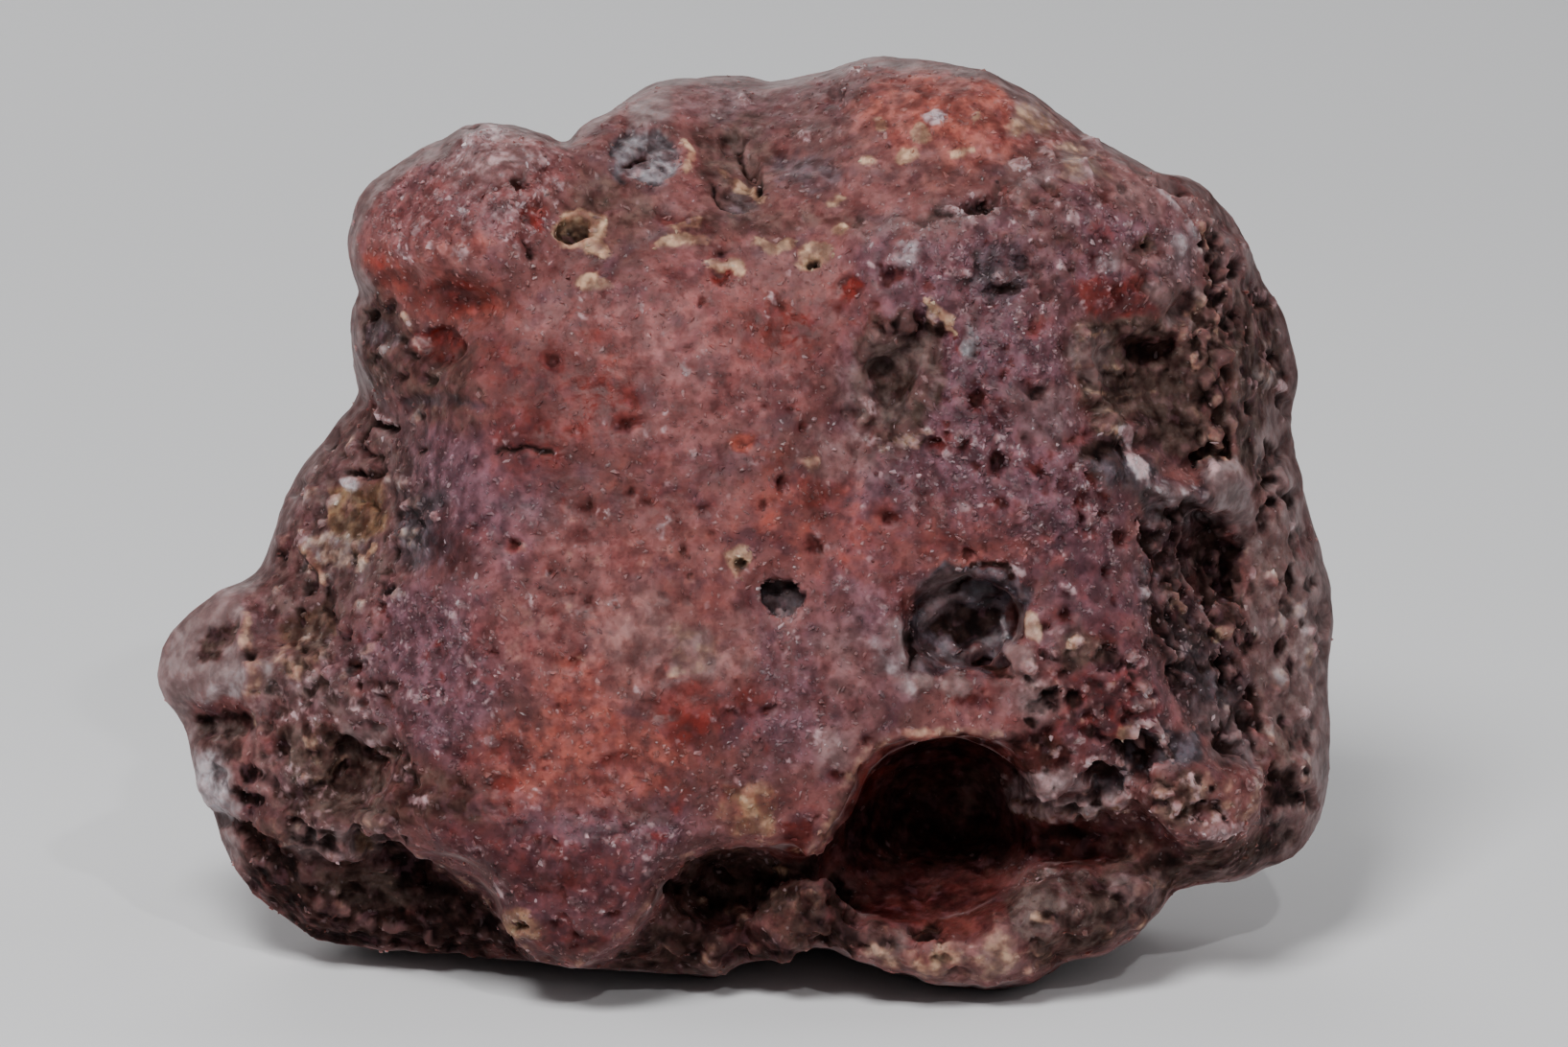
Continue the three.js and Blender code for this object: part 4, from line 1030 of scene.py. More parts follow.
def read_points(mesh: bpy.types.Mesh) -> np.ndarray:
    """Reads a mesh's vertices in millimetres, one row each."""
    flat = np.empty(len(mesh.vertices) * 3)
    mesh.vertices.foreach_get("co", flat)
    return flat.reshape(-1, 3) / MM


def write_points(mesh: bpy.types.Mesh, points: np.ndarray) -> None:
    """Moves a mesh's vertices to points in millimetres."""
    mesh.vertices.foreach_set("co", (points * MM).ravel())
    mesh.update()


def read_normals(mesh: bpy.types.Mesh) -> np.ndarray:
    """Reads the direction that each vertex faces, one row each."""
    flat = np.empty(len(mesh.vertices) * 3)
    mesh.vertices.foreach_get("normal", flat)
    return flat.reshape(-1, 3)


def read_edges(mesh: bpy.types.Mesh) -> np.ndarray:
    """Reads a mesh's edges as pairs of vertex numbers."""
    flat = np.empty(len(mesh.edges) * 2, np.int32)
    mesh.edges.foreach_get("vertices", flat)
    return flat.reshape(-1, 2)


def read_mask(mesh: bpy.types.Mesh, name: str) -> np.ndarray:
    """Reads one mask of a mesh, a number for each vertex."""
    values = np.empty(len(mesh.vertices), np.float32)
    mesh.attributes[name].data.foreach_get("value", values)
    return values


def write_mask(mesh: bpy.types.Mesh, name: str, values: np.ndarray) -> None:
    """Keeps one mask on a mesh, a number from 0 to 1 for each vertex."""
    layer = mesh.attributes.get(name) or mesh.attributes.new(name, "FLOAT", "POINT")
    layer.data.foreach_set("value", np.clip(values, 0, 1).astype(np.float32))


def spread_out(values: np.ndarray, edges: np.ndarray, passes: int) -> np.ndarray:
    """Averages values with those of neighbouring vertices.

    Args:
        values: One number or row for each vertex.
        edges: Pairs of vertex numbers.
        passes: How many times to average.

    Returns:
        The averaged values.
    """
    count = np.bincount(edges.ravel(), minlength=len(values)).astype(float)
    wide = values.reshape(len(values), -1).astype(float)
    for _ in range(passes):
        total = np.empty_like(wide)
        for column in range(wide.shape[1]):
            total[:, column] = (
                np.bincount(edges[:, 0], wide[edges[:, 1], column], len(wide))
                + np.bincount(edges[:, 1], wide[edges[:, 0], column], len(wide)))
        wide = (wide + total) / (1.0 + count[:, None])
    return wide.reshape(values.shape)


@dataclass
class StoneSkin:
    """The stone's whole surface, worked from a copy of its solid.

    The copy is rounded, remeshed and drawn out to the outline, and then carved: broad forms first,
    then pits, flecks, facets and crumbs. What covers each place is kept as masks on the mesh.
    """

    node: str = "agate"
    coarse_cell: float = 0.42
    fine_cell: float = 0.18
    front_triangles: int = 152000
    back_triangles: int = 42000
    heart: tuple[float, float] = (790.0, 560.0)  # the pixel that the outline is drawn out from
    directions: int = 360  # how many ways it is measured in
    drawn: tuple[float, float] = (0.55, 0.98)  # how far out the drawing starts and is full
    deepest: float = 13.0  # floors are levelled no farther than this behind the front, in mm
    swell: float = 0.26  # how far the whole skin swells and dents, in mm
    pits: int = 360
    pit_area: Span = (380, 1340, 110, 980)  # where they are scattered, in pixels
    broken_area: Span = (560, 1200, 300, 1092)  # where they lie closer together
    calm_share: float = 0.45  # how many there are elsewhere, against that
    softer: float = 1.7  # how much wider the edge of broad paint gets
    rind_and_rim_light: tuple[float, float] = (22.0, 7.0)  # a pale band along the outline, partly worn rind and partly painted edge light, starts and is full this far inside the outline
    rim_light_ends: tuple[float, float] = (860.0, 940.0)  # how far down it starts to fade and is faint
    turned: tuple[float, float] = (-0.14, 0.0)  # how far a place faces the viewer as it comes into sight
    edge_on: float = -0.05  # what faces the viewer less than this is thinned with the back
    depth_cell: float = 0.4  # the grid that the front's depth is kept on, in mm
    room: tuple[float, ...] = (-34.0, -6.0, 68.0, 62.0)  # its left, foot, width and height, in mm

    def build(self) -> Piece:
        """Makes the stone's skin.

        Returns:
            The finished mesh object, with its masks.
        """
        body = self.copy_of_node()
        apply_modifier(body, "SUBSURF", levels=1, render_levels=1)
        apply_modifier(body, "REMESH", mode="VOXEL", voxel_size=self.coarse_cell * MM)
        self.offset = self.middle_in_view(body)
        self.draw_out(body)
        self.carve_forms(body)
        apply_modifier(body, "REMESH", mode="VOXEL", voxel_size=self.fine_cell * MM)
        apply_modifier(body, "TRIANGULATE")
        self.thin(body, False, self.back_triangles)
        self.lay_marks(body)
        self.break_up(body)
        self.thin(body, True, self.front_triangles)
        self.shade(body)
        select_only(body)
        bpy.ops.object.shade_smooth()
        return body

    def copy_of_node(self) -> Piece:
        """Copies the solid and merges its loose triangles into one skin."""
        select_only(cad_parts[self.node])
        bpy.ops.object.duplicate()
        body = bpy.context.view_layer.objects.active
        body.name = "stone_skin"
        body.parent = None
        body.data.materials.clear()
        bpy.ops.object.mode_set(mode="EDIT")
        bpy.ops.mesh.select_all(action="SELECT")
        bpy.ops.mesh.remove_doubles(threshold=0.01 * MM)
        bpy.ops.mesh.normals_make_consistent(inside=False)
        bpy.ops.object.mode_set(mode="OBJECT")
        return body

    def middle_in_view(self, body: Piece) -> np.ndarray:
        """Finds where the photo's middle pixel lies on the stone, across and up in the view."""
        points = read_points(body.data)
        up = points @ VIEW.up
        across = points[:, 0]
        left, right, top, bottom = span(OUTLINE)
        wide = (left + right) / 2 - VIEW.middle_x
        tall = VIEW.middle_y - (top + bottom) / 2
        return np.array([(across.min() + across.max()) / 2 - wide * VIEW.pixel,
                         (up.min() + up.max()) / 2 - tall * VIEW.pixel])

    def draw_out(self, body: Piece) -> None:
        """Draws the skin in or out, mostly near its rim, so its outline is the stone's."""
        points = read_points(body.data)
        place = VIEW.flatten(points, self.offset)
        middle = np.array(self.heart)
        away = place[:, :2] - middle
        angle = np.arctan2(away[:, 1], away[:, 0])
        reach = np.hypot(away[:, 0], away[:, 1])
        steps = self.directions
        slot = ((angle + math.pi) / (2 * math.pi) * steps).astype(int) % steps
        now = np.zeros(steps)
        np.maximum.at(now, slot, reach)
        for _ in range(3):
            now = np.where(now < 1, (np.roll(now, 1) + np.roll(now, -1)) / 2, now)
        now = (np.roll(now, 1) + 2 * now + np.roll(now, -1)) / 4
        edge = np.array(OUTLINE) - middle
        edge_angle = np.arctan2(edge[:, 1], edge[:, 0])
        order = np.argsort(edge_angle)
        turn = (np.arange(steps) + 0.5) / steps * 2 * math.pi - math.pi
        wanted = np.interp(turn, edge_angle[order], np.hypot(edge[:, 0], edge[:, 1])[order],
                           period=2 * math.pi)
        scale = np.interp(angle, turn, wanted / now, period=2 * math.pi)
        limit = np.interp(angle, turn, now, period=2 * math.pi)
        share = ramp(*self.drawn, reach / limit)
        grown = away * ((scale - 1.0) * share)[:, None] * VIEW.pixel
        points[:, 0] += grown[:, 0]
        points -= grown[:, 1:2] * VIEW.up
        points[:, 2] = np.maximum(points[:, 2], 0.0)
        write_points(body.data, points)

    def scatter_pits(self) -> tuple[Mark, ...]:
        """Scatters the small pits that cover the front, closer together where it is broken, many with a dark core of
        painted shade.
        """
        turns = np.random.default_rng(20)
        made = []
        for x, y, half, tall, deep, black in PITS:
            turn, core = turns.uniform(-25, 25), 0.6 + 0.5 * black
            made.append(Mark(Oval(x, y, half * 1.6, tall * 1.4, turn), -0.1, half * 2.2, 0.0,
                             {Tone.BLOOD: 0.3, Tone.WINE: 0.3}))
            # the dark core, set a little high in the pit, is painted shade under its upper edge
            hole = Oval(x + turns.uniform(-2, 2), y - turns.uniform(0, 3), half * core, tall * core, turn)
            made.append(Mark(hole, -deep * (0.25 + 0.6 * black), half * 0.9, 0.0,
                             {Tone.WINE: 0.6 + 0.4 * black, Tone.SOOT: 0.7 * black}))
        left, right, top, bottom = self.pit_area
        start, end, above, below = self.broken_area
        while len(made) < self.pits:
            x, y = turns.uniform(left, right), turns.uniform(top, bottom)
            busy = 1.0 if start < x < end and above < y < below else self.calm_share
            if turns.random() > busy:
                continue
            half = 2.8 + 9.0 * turns.random() ** 2.6
            core = turns.random() < 0.4
            wide = half if core else 1.8 * half
            hole = Oval(x, y, wide, wide * turns.uniform(0.4, 0.8), turns.uniform(-50, 50))
            made.append(Mark(hole, -0.03 * half * core, 4.0 + (0.4 if core else 1.5) * half, 0.0,
                             {Tone.WINE: 0.3 + 0.5 * core, Tone.BLOOD: turns.uniform(0.1, 0.5),
                              Tone.SOOT: 0.4 * core * turns.random() ** 2}))
        return tuple(made)

    def stirred(self, points: np.ndarray) -> tuple[np.ndarray, np.ndarray, np.ndarray]:
        """Gives each point's place in the view, stirred so that no mark has a drawn edge.

        Args:
            points: The skin's points.

        Returns:
            Places for crisp marks, places for broad soft paint, and how far a mark's edge is
            broken there, about -1 to 1.
        """
        place = VIEW.flatten(points, self.offset)[:, :2]
        flat = np.column_stack([place * VIEW.pixel, np.zeros(len(place))])
        crisp = place.copy()
        for seed, wave, reach in ((31, 3.0, 4.0), (41, 1.1, 3.8), (47, 0.45, 2.2)):
            crisp[:, 0] += reach * PointNoise(seed).at(flat, wave)
            crisp[:, 1] += reach * PointNoise(seed + 5).at(flat, wave)
        soft = crisp + 22.0 * np.column_stack([PointNoise(111).layers(flat, 6.0, 4),
                                               PointNoise(115).layers(flat, 6.0, 4)])
        broken = PointNoise(121).layers(flat, 1.3, 3)
        return crisp, soft, broken

    def facing(self, body: Piece, passes: int) -> tuple[np.ndarray, np.ndarray]:
        """Reads the calmed direction of each vertex, and how far it faces the viewer."""
        normals = spread_out(read_normals(body.data), read_edges(body.data), passes)
        normals /= np.maximum(np.linalg.norm(normals, axis=1, keepdims=True), 1e-6)
        return normals, normals @ VIEW.towards

    def seen(self, points: np.ndarray, facing: np.ndarray, low: float, high: float) -> np.ndarray:
        """Eases from 0 where a place faces away to 1 where it faces the viewer, with a broken edge.

        Args:
            points: The skin's points.
            facing: How far each faces the viewer.
            low: How far a place that counts as 0 faces the viewer.
            high: The same for one that counts as 1.

        Returns:
            A number from 0 to 1 for each point.
        """
        broken = facing + 0.3 * PointNoise(161).layers(points, 4.0, 3)
        return ramp(low, high, broken) * ramp(*self.turned, facing)

    def push(self, body: Piece, points: np.ndarray, way: np.ndarray, rise: np.ndarray) -> None:
        """Moves the skin, but neither the flat that it stands on nor anything below it.

        Args:
            body: The stone.
            points: Its points.
            way: The direction that each moves in.
            rise: How far, in millimetres.
        """
        worn = ramp(0.0, 0.8, points[:, 2])
        moved = points + way * (rise * worn)[:, None]
        moved[:, 2] = np.maximum(moved[:, 2], 0.0)
        write_points(body.data, moved)

    def carve_forms(self, body: Piece) -> None:
        """Levels some floors, carves the broad forms of the front, and swells and dents the whole skin a little."""
        points = read_points(body.data)
        crisp, _, broken = self.stirred(points)
        for mark, deep in FLOORS:
            sunk = self.sunk(points, 3.0)
            near, cover = mark.cover(crisp, broken)
            over = np.where(sunk[near] < self.deepest, np.maximum(sunk[near] - deep, 0.0), 0.0) * cover
            points[near] += VIEW.towards * over[:, None]
        near, cover = WORN_EDGE.cover(crisp, broken)
        even = spread_out(points, read_edges(body.data), 30)
        points[near] += (even - points)[near] * cover[:, None]
        write_points(body.data, points)
        normals, facing = self.facing(body, 4)
        seen = ramp(0.02, 0.3, facing)
        rise = self.swell * PointNoise(51).layers(points, 3.4, 3)
        for mark in BROAD_MARKS:
            if mark.rise:
                near, cover = mark.cover(crisp, broken)
                rise[near] += mark.rise * cover * seen[near]
        way = normals * 0.6 + VIEW.towards * 0.4 * np.sign(facing)[:, None]
        way /= np.linalg.norm(way, axis=1, keepdims=True)
        self.push(body, points, way, rise)

    def thin(self, body: Piece, front: bool, most: int) -> None:
        """Takes out triangles on one side where the skin is plain, so the piece keeps to its budget.

        Args:
            body: The stone.
            front: Whether the front is thinned, or all the rest.
            most: How many triangles that side keeps.
        """
        flat = np.empty(len(body.data.polygons) * 3)
        body.data.polygons.foreach_get("normal", flat)
        chosen = (flat.reshape(-1, 3) @ VIEW.towards > self.edge_on) == front
        if chosen.sum() <= most:
            return
        select_only(body)
        bpy.ops.object.mode_set(mode="EDIT")
        bpy.ops.mesh.select_mode(type="FACE")
        bpy.ops.mesh.select_all(action="DESELECT")
        bpy.ops.object.mode_set(mode="OBJECT")
        body.data.polygons.foreach_set("select", chosen)
        bpy.ops.object.mode_set(mode="EDIT")
        bpy.ops.mesh.decimate(ratio=most / chosen.sum())
        bpy.ops.object.mode_set(mode="OBJECT")

    def lay_marks(self, body: Piece) -> None:
        """Lays every mark's stains, painted shade and painted glints on the skin as masks, adds a pale band along the
        outline, and carves the fine marks.
        """
        points = read_points(body.data)
        normals, facing = self.facing(body, 5)
        crisp, soft, broken = self.stirred(points)
        seen = self.seen(points, facing, 0.02, 0.32)
        masks = {tone: np.zeros(len(points)) for tone in Tone}
        masks[Tone.SUGAR] = 0.25 * seen
        rise = np.zeros(len(points))
        strewn = [mark for number, field in enumerate(FIELDS) for mark in field.strew(200 + number)]
        fine = FINE_MARKS + self.scatter_pits() + tuple(strewn)
        for number, mark in enumerate(BROAD_MARKS + WASHES + fine):
            broad = number < len(BROAD_MARKS) + len(WASHES)
            if broad and mark.is_paint():
                near, cover = mark.cover(soft, broken, mark.soft * self.softer)
            else:
                near, cover = mark.cover(crisp, broken)
            if not len(near):
                continue
            cover = cover * seen[near]
            for values in masks.values() if mark.wipe else ():
                values[near] *= 1 - mark.wipe * cover
            for tone, strength in mark.tones.items():
                masks[tone][near] = np.maximum(masks[tone][near], cover * strength)
            if not broad:
                rise[near] += mark.rise * cover
        # a pale band along the outline, fading towards the bottom: partly worn rind, partly painted edge light
        rind_and_rim_light = seen * ramp(*self.rind_and_rim_light, Patch(OUTLINE).depth(crisp) + 6.0 * broken)
        rind_and_rim_light *= 1 - 0.8 * ramp(*self.rim_light_ends, crisp[:, 1])
        masks[Tone.RIND] = np.maximum(masks[Tone.RIND], 0.95 * rind_and_rim_light)
        masks[Tone.SUGAR] *= 1 - rind_and_rim_light
        for tone in (Tone.SOOT, Tone.BLOOD, Tone.WINE, Tone.CREAM):
            masks[tone] *= 1 - 0.8 * rind_and_rim_light
        self.cover_unseen(points, 1 - seen, masks)
        for tone, values in masks.items():
            write_mask(body.data, tone.value, values)
        self.push(body, points, normals, rise)

    def cover_unseen(self, points: np.ndarray, unseen: np.ndarray, masks: dict) -> None:
        """Covers the sides, back and underside with worn rind, patches of clay and a few stains."""
        wide = PointNoise(91).layers(points, 9.0, 3)
        patchy = PointNoise(95).layers(points, 5.0, 3)
        fleck = PointNoise(99).layers(points, 1.6, 2)
        for tone, cover in ((Tone.RIND, ramp(0.3, 0.9, unseen) * (0.82 + 0.3 * wide)),
                            (Tone.CLAY, unseen * ramp(0.0, 0.6, patchy) * 0.6),
                            (Tone.IRON, unseen * ramp(0.0, 0.5, -wide) * 0.7),
                            (Tone.LILAC, unseen * ramp(0.05, 0.5, -patchy) * 0.6),
                            (Tone.SOOT, unseen * ramp(0.42, 0.7, fleck) * 0.7),
                            (Tone.CREAM, unseen * ramp(0.45, 0.7, -fleck) * 0.5)):
            masks[tone] = np.maximum(masks[tone], cover)

    def break_up(self, body: Piece) -> None:
        """Breaks the clean stone into small facets and the dirty hollows into crumbs."""
        points = read_points(body.data)
        normals, facing = self.facing(body, 2)
        seen = self.seen(points, facing, -0.05, 0.3)
        dirty = np.maximum(read_mask(body.data, "soot"), read_mask(body.data, "clay"))
        dirty = np.maximum(dirty, 0.5 * read_mask(body.data, "slate"))
        dirty = np.maximum(dirty, 0.6 * read_mask(body.data, "cream"))
        sugar = read_mask(body.data, "sugar")
        knobs = np.maximum(read_mask(body.data, "soot"), 0.4 * dirty)
        seen_bare = seen * (1 - 0.75 * read_mask(body.data, "rind"))
        flank = ramp(20, 24, points[:, 0])
        tall = points * np.column_stack([0.8 + 0.2 * flank, np.ones(len(points)), 1 - 0.55 * flank])
        stir = np.column_stack([PointNoise(131).at(points, 0.8), PointNoise(132).at(points, 0.8),
                                PointNoise(133).at(points, 0.8)])
        shaken = points + 0.18 * stir
        rise = (1 - seen) * (0.10 * PointNoise(81).layers(points, 1.5, 3) + 0.16 * PointNoise(83).layers(points, 4.5, 2)
                             - 0.30 * ramp(0.40, 0.75, PointNoise(99).layers(points, 1.6, 2)))
        facet, own = PointCells(141).at(shaken, 1.0)
        rise += seen_bare * (0.06 + 0.27 * sugar + 0.07 * dirty) * (facet * 0.8 + (own - 0.5) * 0.35)
        facet, own = PointCells(143).at(shaken, 0.48)
        rise += seen_bare * (0.03 + 0.12 * sugar + 0.06 * dirty) * (facet * 0.7 + (own - 0.5) * 0.5)
        rise += seen_bare * knobs * 0.15 * PointNoise(155).layers(tall, 1.5, 3, ridged=True)
        rise += seen_bare * 0.06 * PointNoise(151).layers(points, 0.9, 3, ridged=True)
        self.push(body, points, normals, rise)

    def sunk(self, points: np.ndarray, blur: float) -> np.ndarray:
        """Measures how far each point lies behind the calmed front.

        Args:
            points: The skin's points.
            blur: How widely the front is calmed, in millimetres.

        Returns:
            Millimetres behind the front for each point, below 0 in front of it.
        """
        cell, nothing = self.depth_cell, -99.0
        left, foot, width, height = self.room
        depth = points @ VIEW.towards
        front = np.full((int(width / cell), int(height / cell)), nothing)
        columns = np.clip(((points[:, 0] - left) / cell).astype(int), 0, front.shape[0] - 1)
        rows = np.clip(((points @ VIEW.up - foot) / cell).astype(int), 0, front.shape[1] - 1)
        np.maximum.at(front, (columns, rows), depth)
        known = front > nothing
        total, weight = np.where(known, front, 0.0), known.astype(float)
        reach = int(2 * blur / cell)
        bell = np.exp(-0.5 * (np.arange(-reach, reach + 1) * cell / blur) ** 2)
        for axis in (0, 1):
            total = np.apply_along_axis(np.convolve, axis, total, bell, "same")
            weight = np.apply_along_axis(np.convolve, axis, weight, bell, "same")
        calm = total / np.maximum(weight, 1e-6)
        return calm[columns, rows] - depth

    def shade(self, body: Piece) -> None:
        """Keeps masks of how sunk each place is, for painted shade, of its crests and of how far the front faces, and
        paints shade into the deepest places.
        """
        points = read_points(body.data)
        edges = read_edges(body.data)
        _, facing = self.facing(body, 6)
        seen = ramp(0.0, 0.3, facing)
        deep = ramp(1.5, 5.5, self.sunk(points, 3.0)) * seen
        near = ramp(0.10, 0.9, self.sunk(points, 0.8)) * seen
        bare = 1 - read_mask(body.data, "slate")
        # painted shade: the deepest places get a little black, and the hollow mask darkens sunk places in the material
        write_mask(body.data, "soot", np.maximum(read_mask(body.data, "soot"), deep * 0.12 * bare))
        write_mask(body.data, "hollow", near * 0.32 + deep * 0.35 * bare)
        middle = spread_out(points, edges, 2)
        bend = np.einsum("ij,ij->i", points - middle, read_normals(body.data))
        # crests, painted paler in the material: partly edge wear, partly painted highlight
        write_mask(body.data, "crest", ramp(0.01, 0.09, spread_out(bend, edges, 1)) * (1 - deep)
                   * np.clip(1 - 1.6 * read_mask(body.data, "wine"), 0, 1))
        write_mask(body.data, "front", seen)


@dataclass
class Druse:
    """The sugar of fine quartz on the broken front: small blunt shards joined in one mesh."""

    name: str
    shards: int
    smallest: float
    largest: float
    pale: float
    seed: int
    # how wide, deep and tall a shard is against its size, at least and at most
    build_of: tuple[tuple[float, float], ...] = ((0.6, 1.5), (0.35, 0.8), (0.4, 0.9))

    def one_shard(self) -> tuple[Piece, np.ndarray, np.ndarray]:
        """Models one shard, with five sides and a blunt point at each end.

        Returns:
            Its object, its points and its triangles.
        """
        bpy.ops.object.select_all(action="DESELECT")
        bpy.ops.mesh.primitive_cone_add(vertices=5, radius1=1.0, radius2=0.0, depth=1.0, end_fill_type="TRIFAN")
        shard = bpy.context.view_layer.objects.active
        shard.name = self.name
        points = np.array([v.co[:] for v in shard.data.vertices])
        foot = np.nonzero((np.hypot(points[:, 0], points[:, 1]) < 0.1) & (points[:, 2] < 0))[0]
        points[foot, 2] -= 0.6
        points[:, 2] += 0.25
        faces = np.array([p.vertices[:] for p in shard.data.polygons])
        return shard, points, faces

    def build(self, stone: Piece, weight: np.ndarray) -> Piece:
        """Sets the shards on the stone.

        Args:
            stone: The stone's skin, with its masks.
            weight: How thickly the shards stand at each of its vertices.

        Returns:
            The joined shards.
        """
        turns = np.random.default_rng(self.seed)
        shard, shape, faces = self.one_shard()
        mesh = stone.data
        points, normals = read_points(mesh), read_normals(mesh)
        corners = np.empty(len(mesh.polygons) * 3, np.int32)
        mesh.loops.foreach_get("vertex_index", corners)
        corners = corners.reshape(-1, 3)
        a, b, c = (points[corners[:, i]] for i in range(3))
        area = np.linalg.norm(np.cross(b - a, c - a), axis=1) * weight[corners].mean(axis=1)
        share = np.cumsum(area) / area.sum()
        chosen = corners[np.searchsorted(share, turns.random(self.shards))]
        mix = turns.dirichlet((1.0, 1.0, 1.0), self.shards)
        place = np.einsum("ij,ijk->ik", mix, points[chosen])
        up = np.einsum("ij,ijk->ik", mix, normals[chosen]) + turns.normal(size=(self.shards, 3)) * 0.45
        up /= np.linalg.norm(up, axis=1, keepdims=True)
        side = np.cross(up, turns.normal(size=(self.shards, 3)))
        side /= np.linalg.norm(side, axis=1, keepdims=True)
        other = np.cross(up, side)
        size = self.smallest + (self.largest - self.smallest) * turns.random(self.shards) ** 2.2
        wide, deep, tall = (size * turns.uniform(low, high, self.shards) for low, high in self.build_of)
        made = (place[:, None, :]
                + shape[None, :, 0:1] * (side * wide[:, None])[:, None, :]
                + shape[None, :, 1:2] * (other * deep[:, None])[:, None, :]
                + shape[None, :, 2:3] * (up * tall[:, None])[:, None, :])
        made[..., 2] = np.maximum(made[..., 2], 0.0)
        count = len(shape)
        rows = (faces[None, :, :] + np.arange(self.shards)[:, None, None] * count).reshape(-1, 3)
        joined = bpy.data.meshes.new(self.name)
        joined.from_pydata((made.reshape(-1, 3) * MM).tolist(), [], rows.tolist())
        joined.update()
        shard.data = joined
        shard.location = (0.0, 0.0, 0.0)
        for name in MASKS:
            write_mask(joined, name, np.repeat(read_mask(mesh, name)[chosen[:, 0]], count))
        write_mask(joined, "tint", np.repeat(turns.random(self.shards), count))
        write_mask(joined, "pale", np.repeat(turns.random(self.shards) ** 2.0 * self.pale, count))
        return shard


@dataclass(frozen=True)
class Nodes:
    """A short hand for building one node tree."""

    tree: Tree

    def add(self, kind: str, inputs: dict | None = None, **settings: object) -> bpy.types.Node:
        """Adds a node.

        Args:
            kind: The node's type.
            inputs: Its inputs by name or number: a socket to link, or a value.
            **settings: The node's own settings.

        Returns:
            The node.
        """
        node = self.tree.nodes.new(kind)
        for name, value in settings.items():
            setattr(node, name, value)
        for name, value in (inputs or {}).items():
            socket = node.inputs[name]
            if isinstance(value, Socket):
                self.tree.links.new(value, socket)
            else:
                socket.default_value = value
        return node

    def math(self, operation: str, *values: object) -> Socket:
        """Adds a Math node and gives its result."""
        return self.add("ShaderNodeMath", dict(enumerate(values)), operation=operation).outputs[0]

    def times(self, a: object, b: object) -> Socket:
        """Multiplies two numbers and gives the result."""
        return self.math("MULTIPLY", a, b)

    def mix(self, factor: object, a: object, b: object, blend: str = "MIX") -> Socket:
        """Mixes two colours and gives the result."""
        return self.add("ShaderNodeMix", {0: factor, 6: a, 7: b}, data_type="RGBA", blend_type=blend).outputs[2]

    def spread(self, value: object, low: object, high: object, to_low: float = 0.0,
               to_high: float = 1.0) -> Socket:
        """Maps a value from one range to another with eased ends."""
        return self.add("ShaderNodeMapRange", {"Value": value, "From Min": low, "From Max": high,
                                               "To Min": to_low, "To Max": to_high},
                        interpolation_type="SMOOTHSTEP").outputs[0]

    def vector(self, operation: str, inputs: dict) -> Socket:
        """Adds a Vector Math node and gives its result."""
        return self.add("ShaderNodeVectorMath", inputs, operation=operation).outputs[0]

    def three_noises(self, coords: Socket, scale: float, detail: float) -> list:
        """Adds one noise texture and gives its three channels."""
        noise = self.add("ShaderNodeTexNoise", {"Vector": coords, "Scale": scale, "Detail": detail,
                                                "Roughness": 0.5}).outputs["Color"]
        return list(self.add("ShaderNodeSeparateColor", {"Color": noise}).outputs)


def new_group(name: str, inputs: dict[str, tuple[str, object]], outputs: dict[str, str]) -> tuple[
        Tree, Nodes, bpy.types.Node, bpy.types.Node]:
    """Starts a shader node group.

    Args:
        name: The group's name.
        inputs: For each input its socket type and default value.
        outputs: For each output its socket type.

    Returns:
        The group, its node builder, its input node and its output node.
    """
    tree = bpy.data.node_groups.new(name, "ShaderNodeTree")
    for label, (kind, value) in inputs.items():
        socket = tree.interface.new_socket(label, in_out="INPUT", socket_type=kind)
        if value is not None:
            socket.default_value = value
    for label, kind in outputs.items():
        tree.interface.new_socket(label, in_out="OUTPUT", socket_type=kind)
    nodes = Nodes(tree)
    return tree, nodes, nodes.add("NodeGroupInput"), nodes.add("NodeGroupOutput")


def broken_edge_group() -> Tree:
    """Builds the group that frays a mask's edge, so a stain ends in flecks and fingers."""
    tree, nodes, given, out = new_group(
        "frayed stain",
        {"Mask": ("NodeSocketFloat", 0.0), "Noise": ("NodeSocketFloat", 0.5), "Fray": ("NodeSocketFloat", 0.6),
         "Softness": ("NodeSocketFloat", 0.3)},
        {"Cover": "NodeSocketFloat"})
    mask, noise, fray, softness = given.outputs[:4]
    centred = nodes.times(nodes.math("SUBTRACT", noise, 0.5), fray)
    pushed = nodes.math("ADD", mask, nodes.times(centred, 3.0))
    eased = nodes.spread(pushed, nodes.math("SUBTRACT", 0.45, softness), nodes.math("ADD", 0.45, softness))
    tree.links.new(nodes.times(eased, nodes.spread(mask, 0.0, 0.12)), out.inputs["Cover"])
    return tree


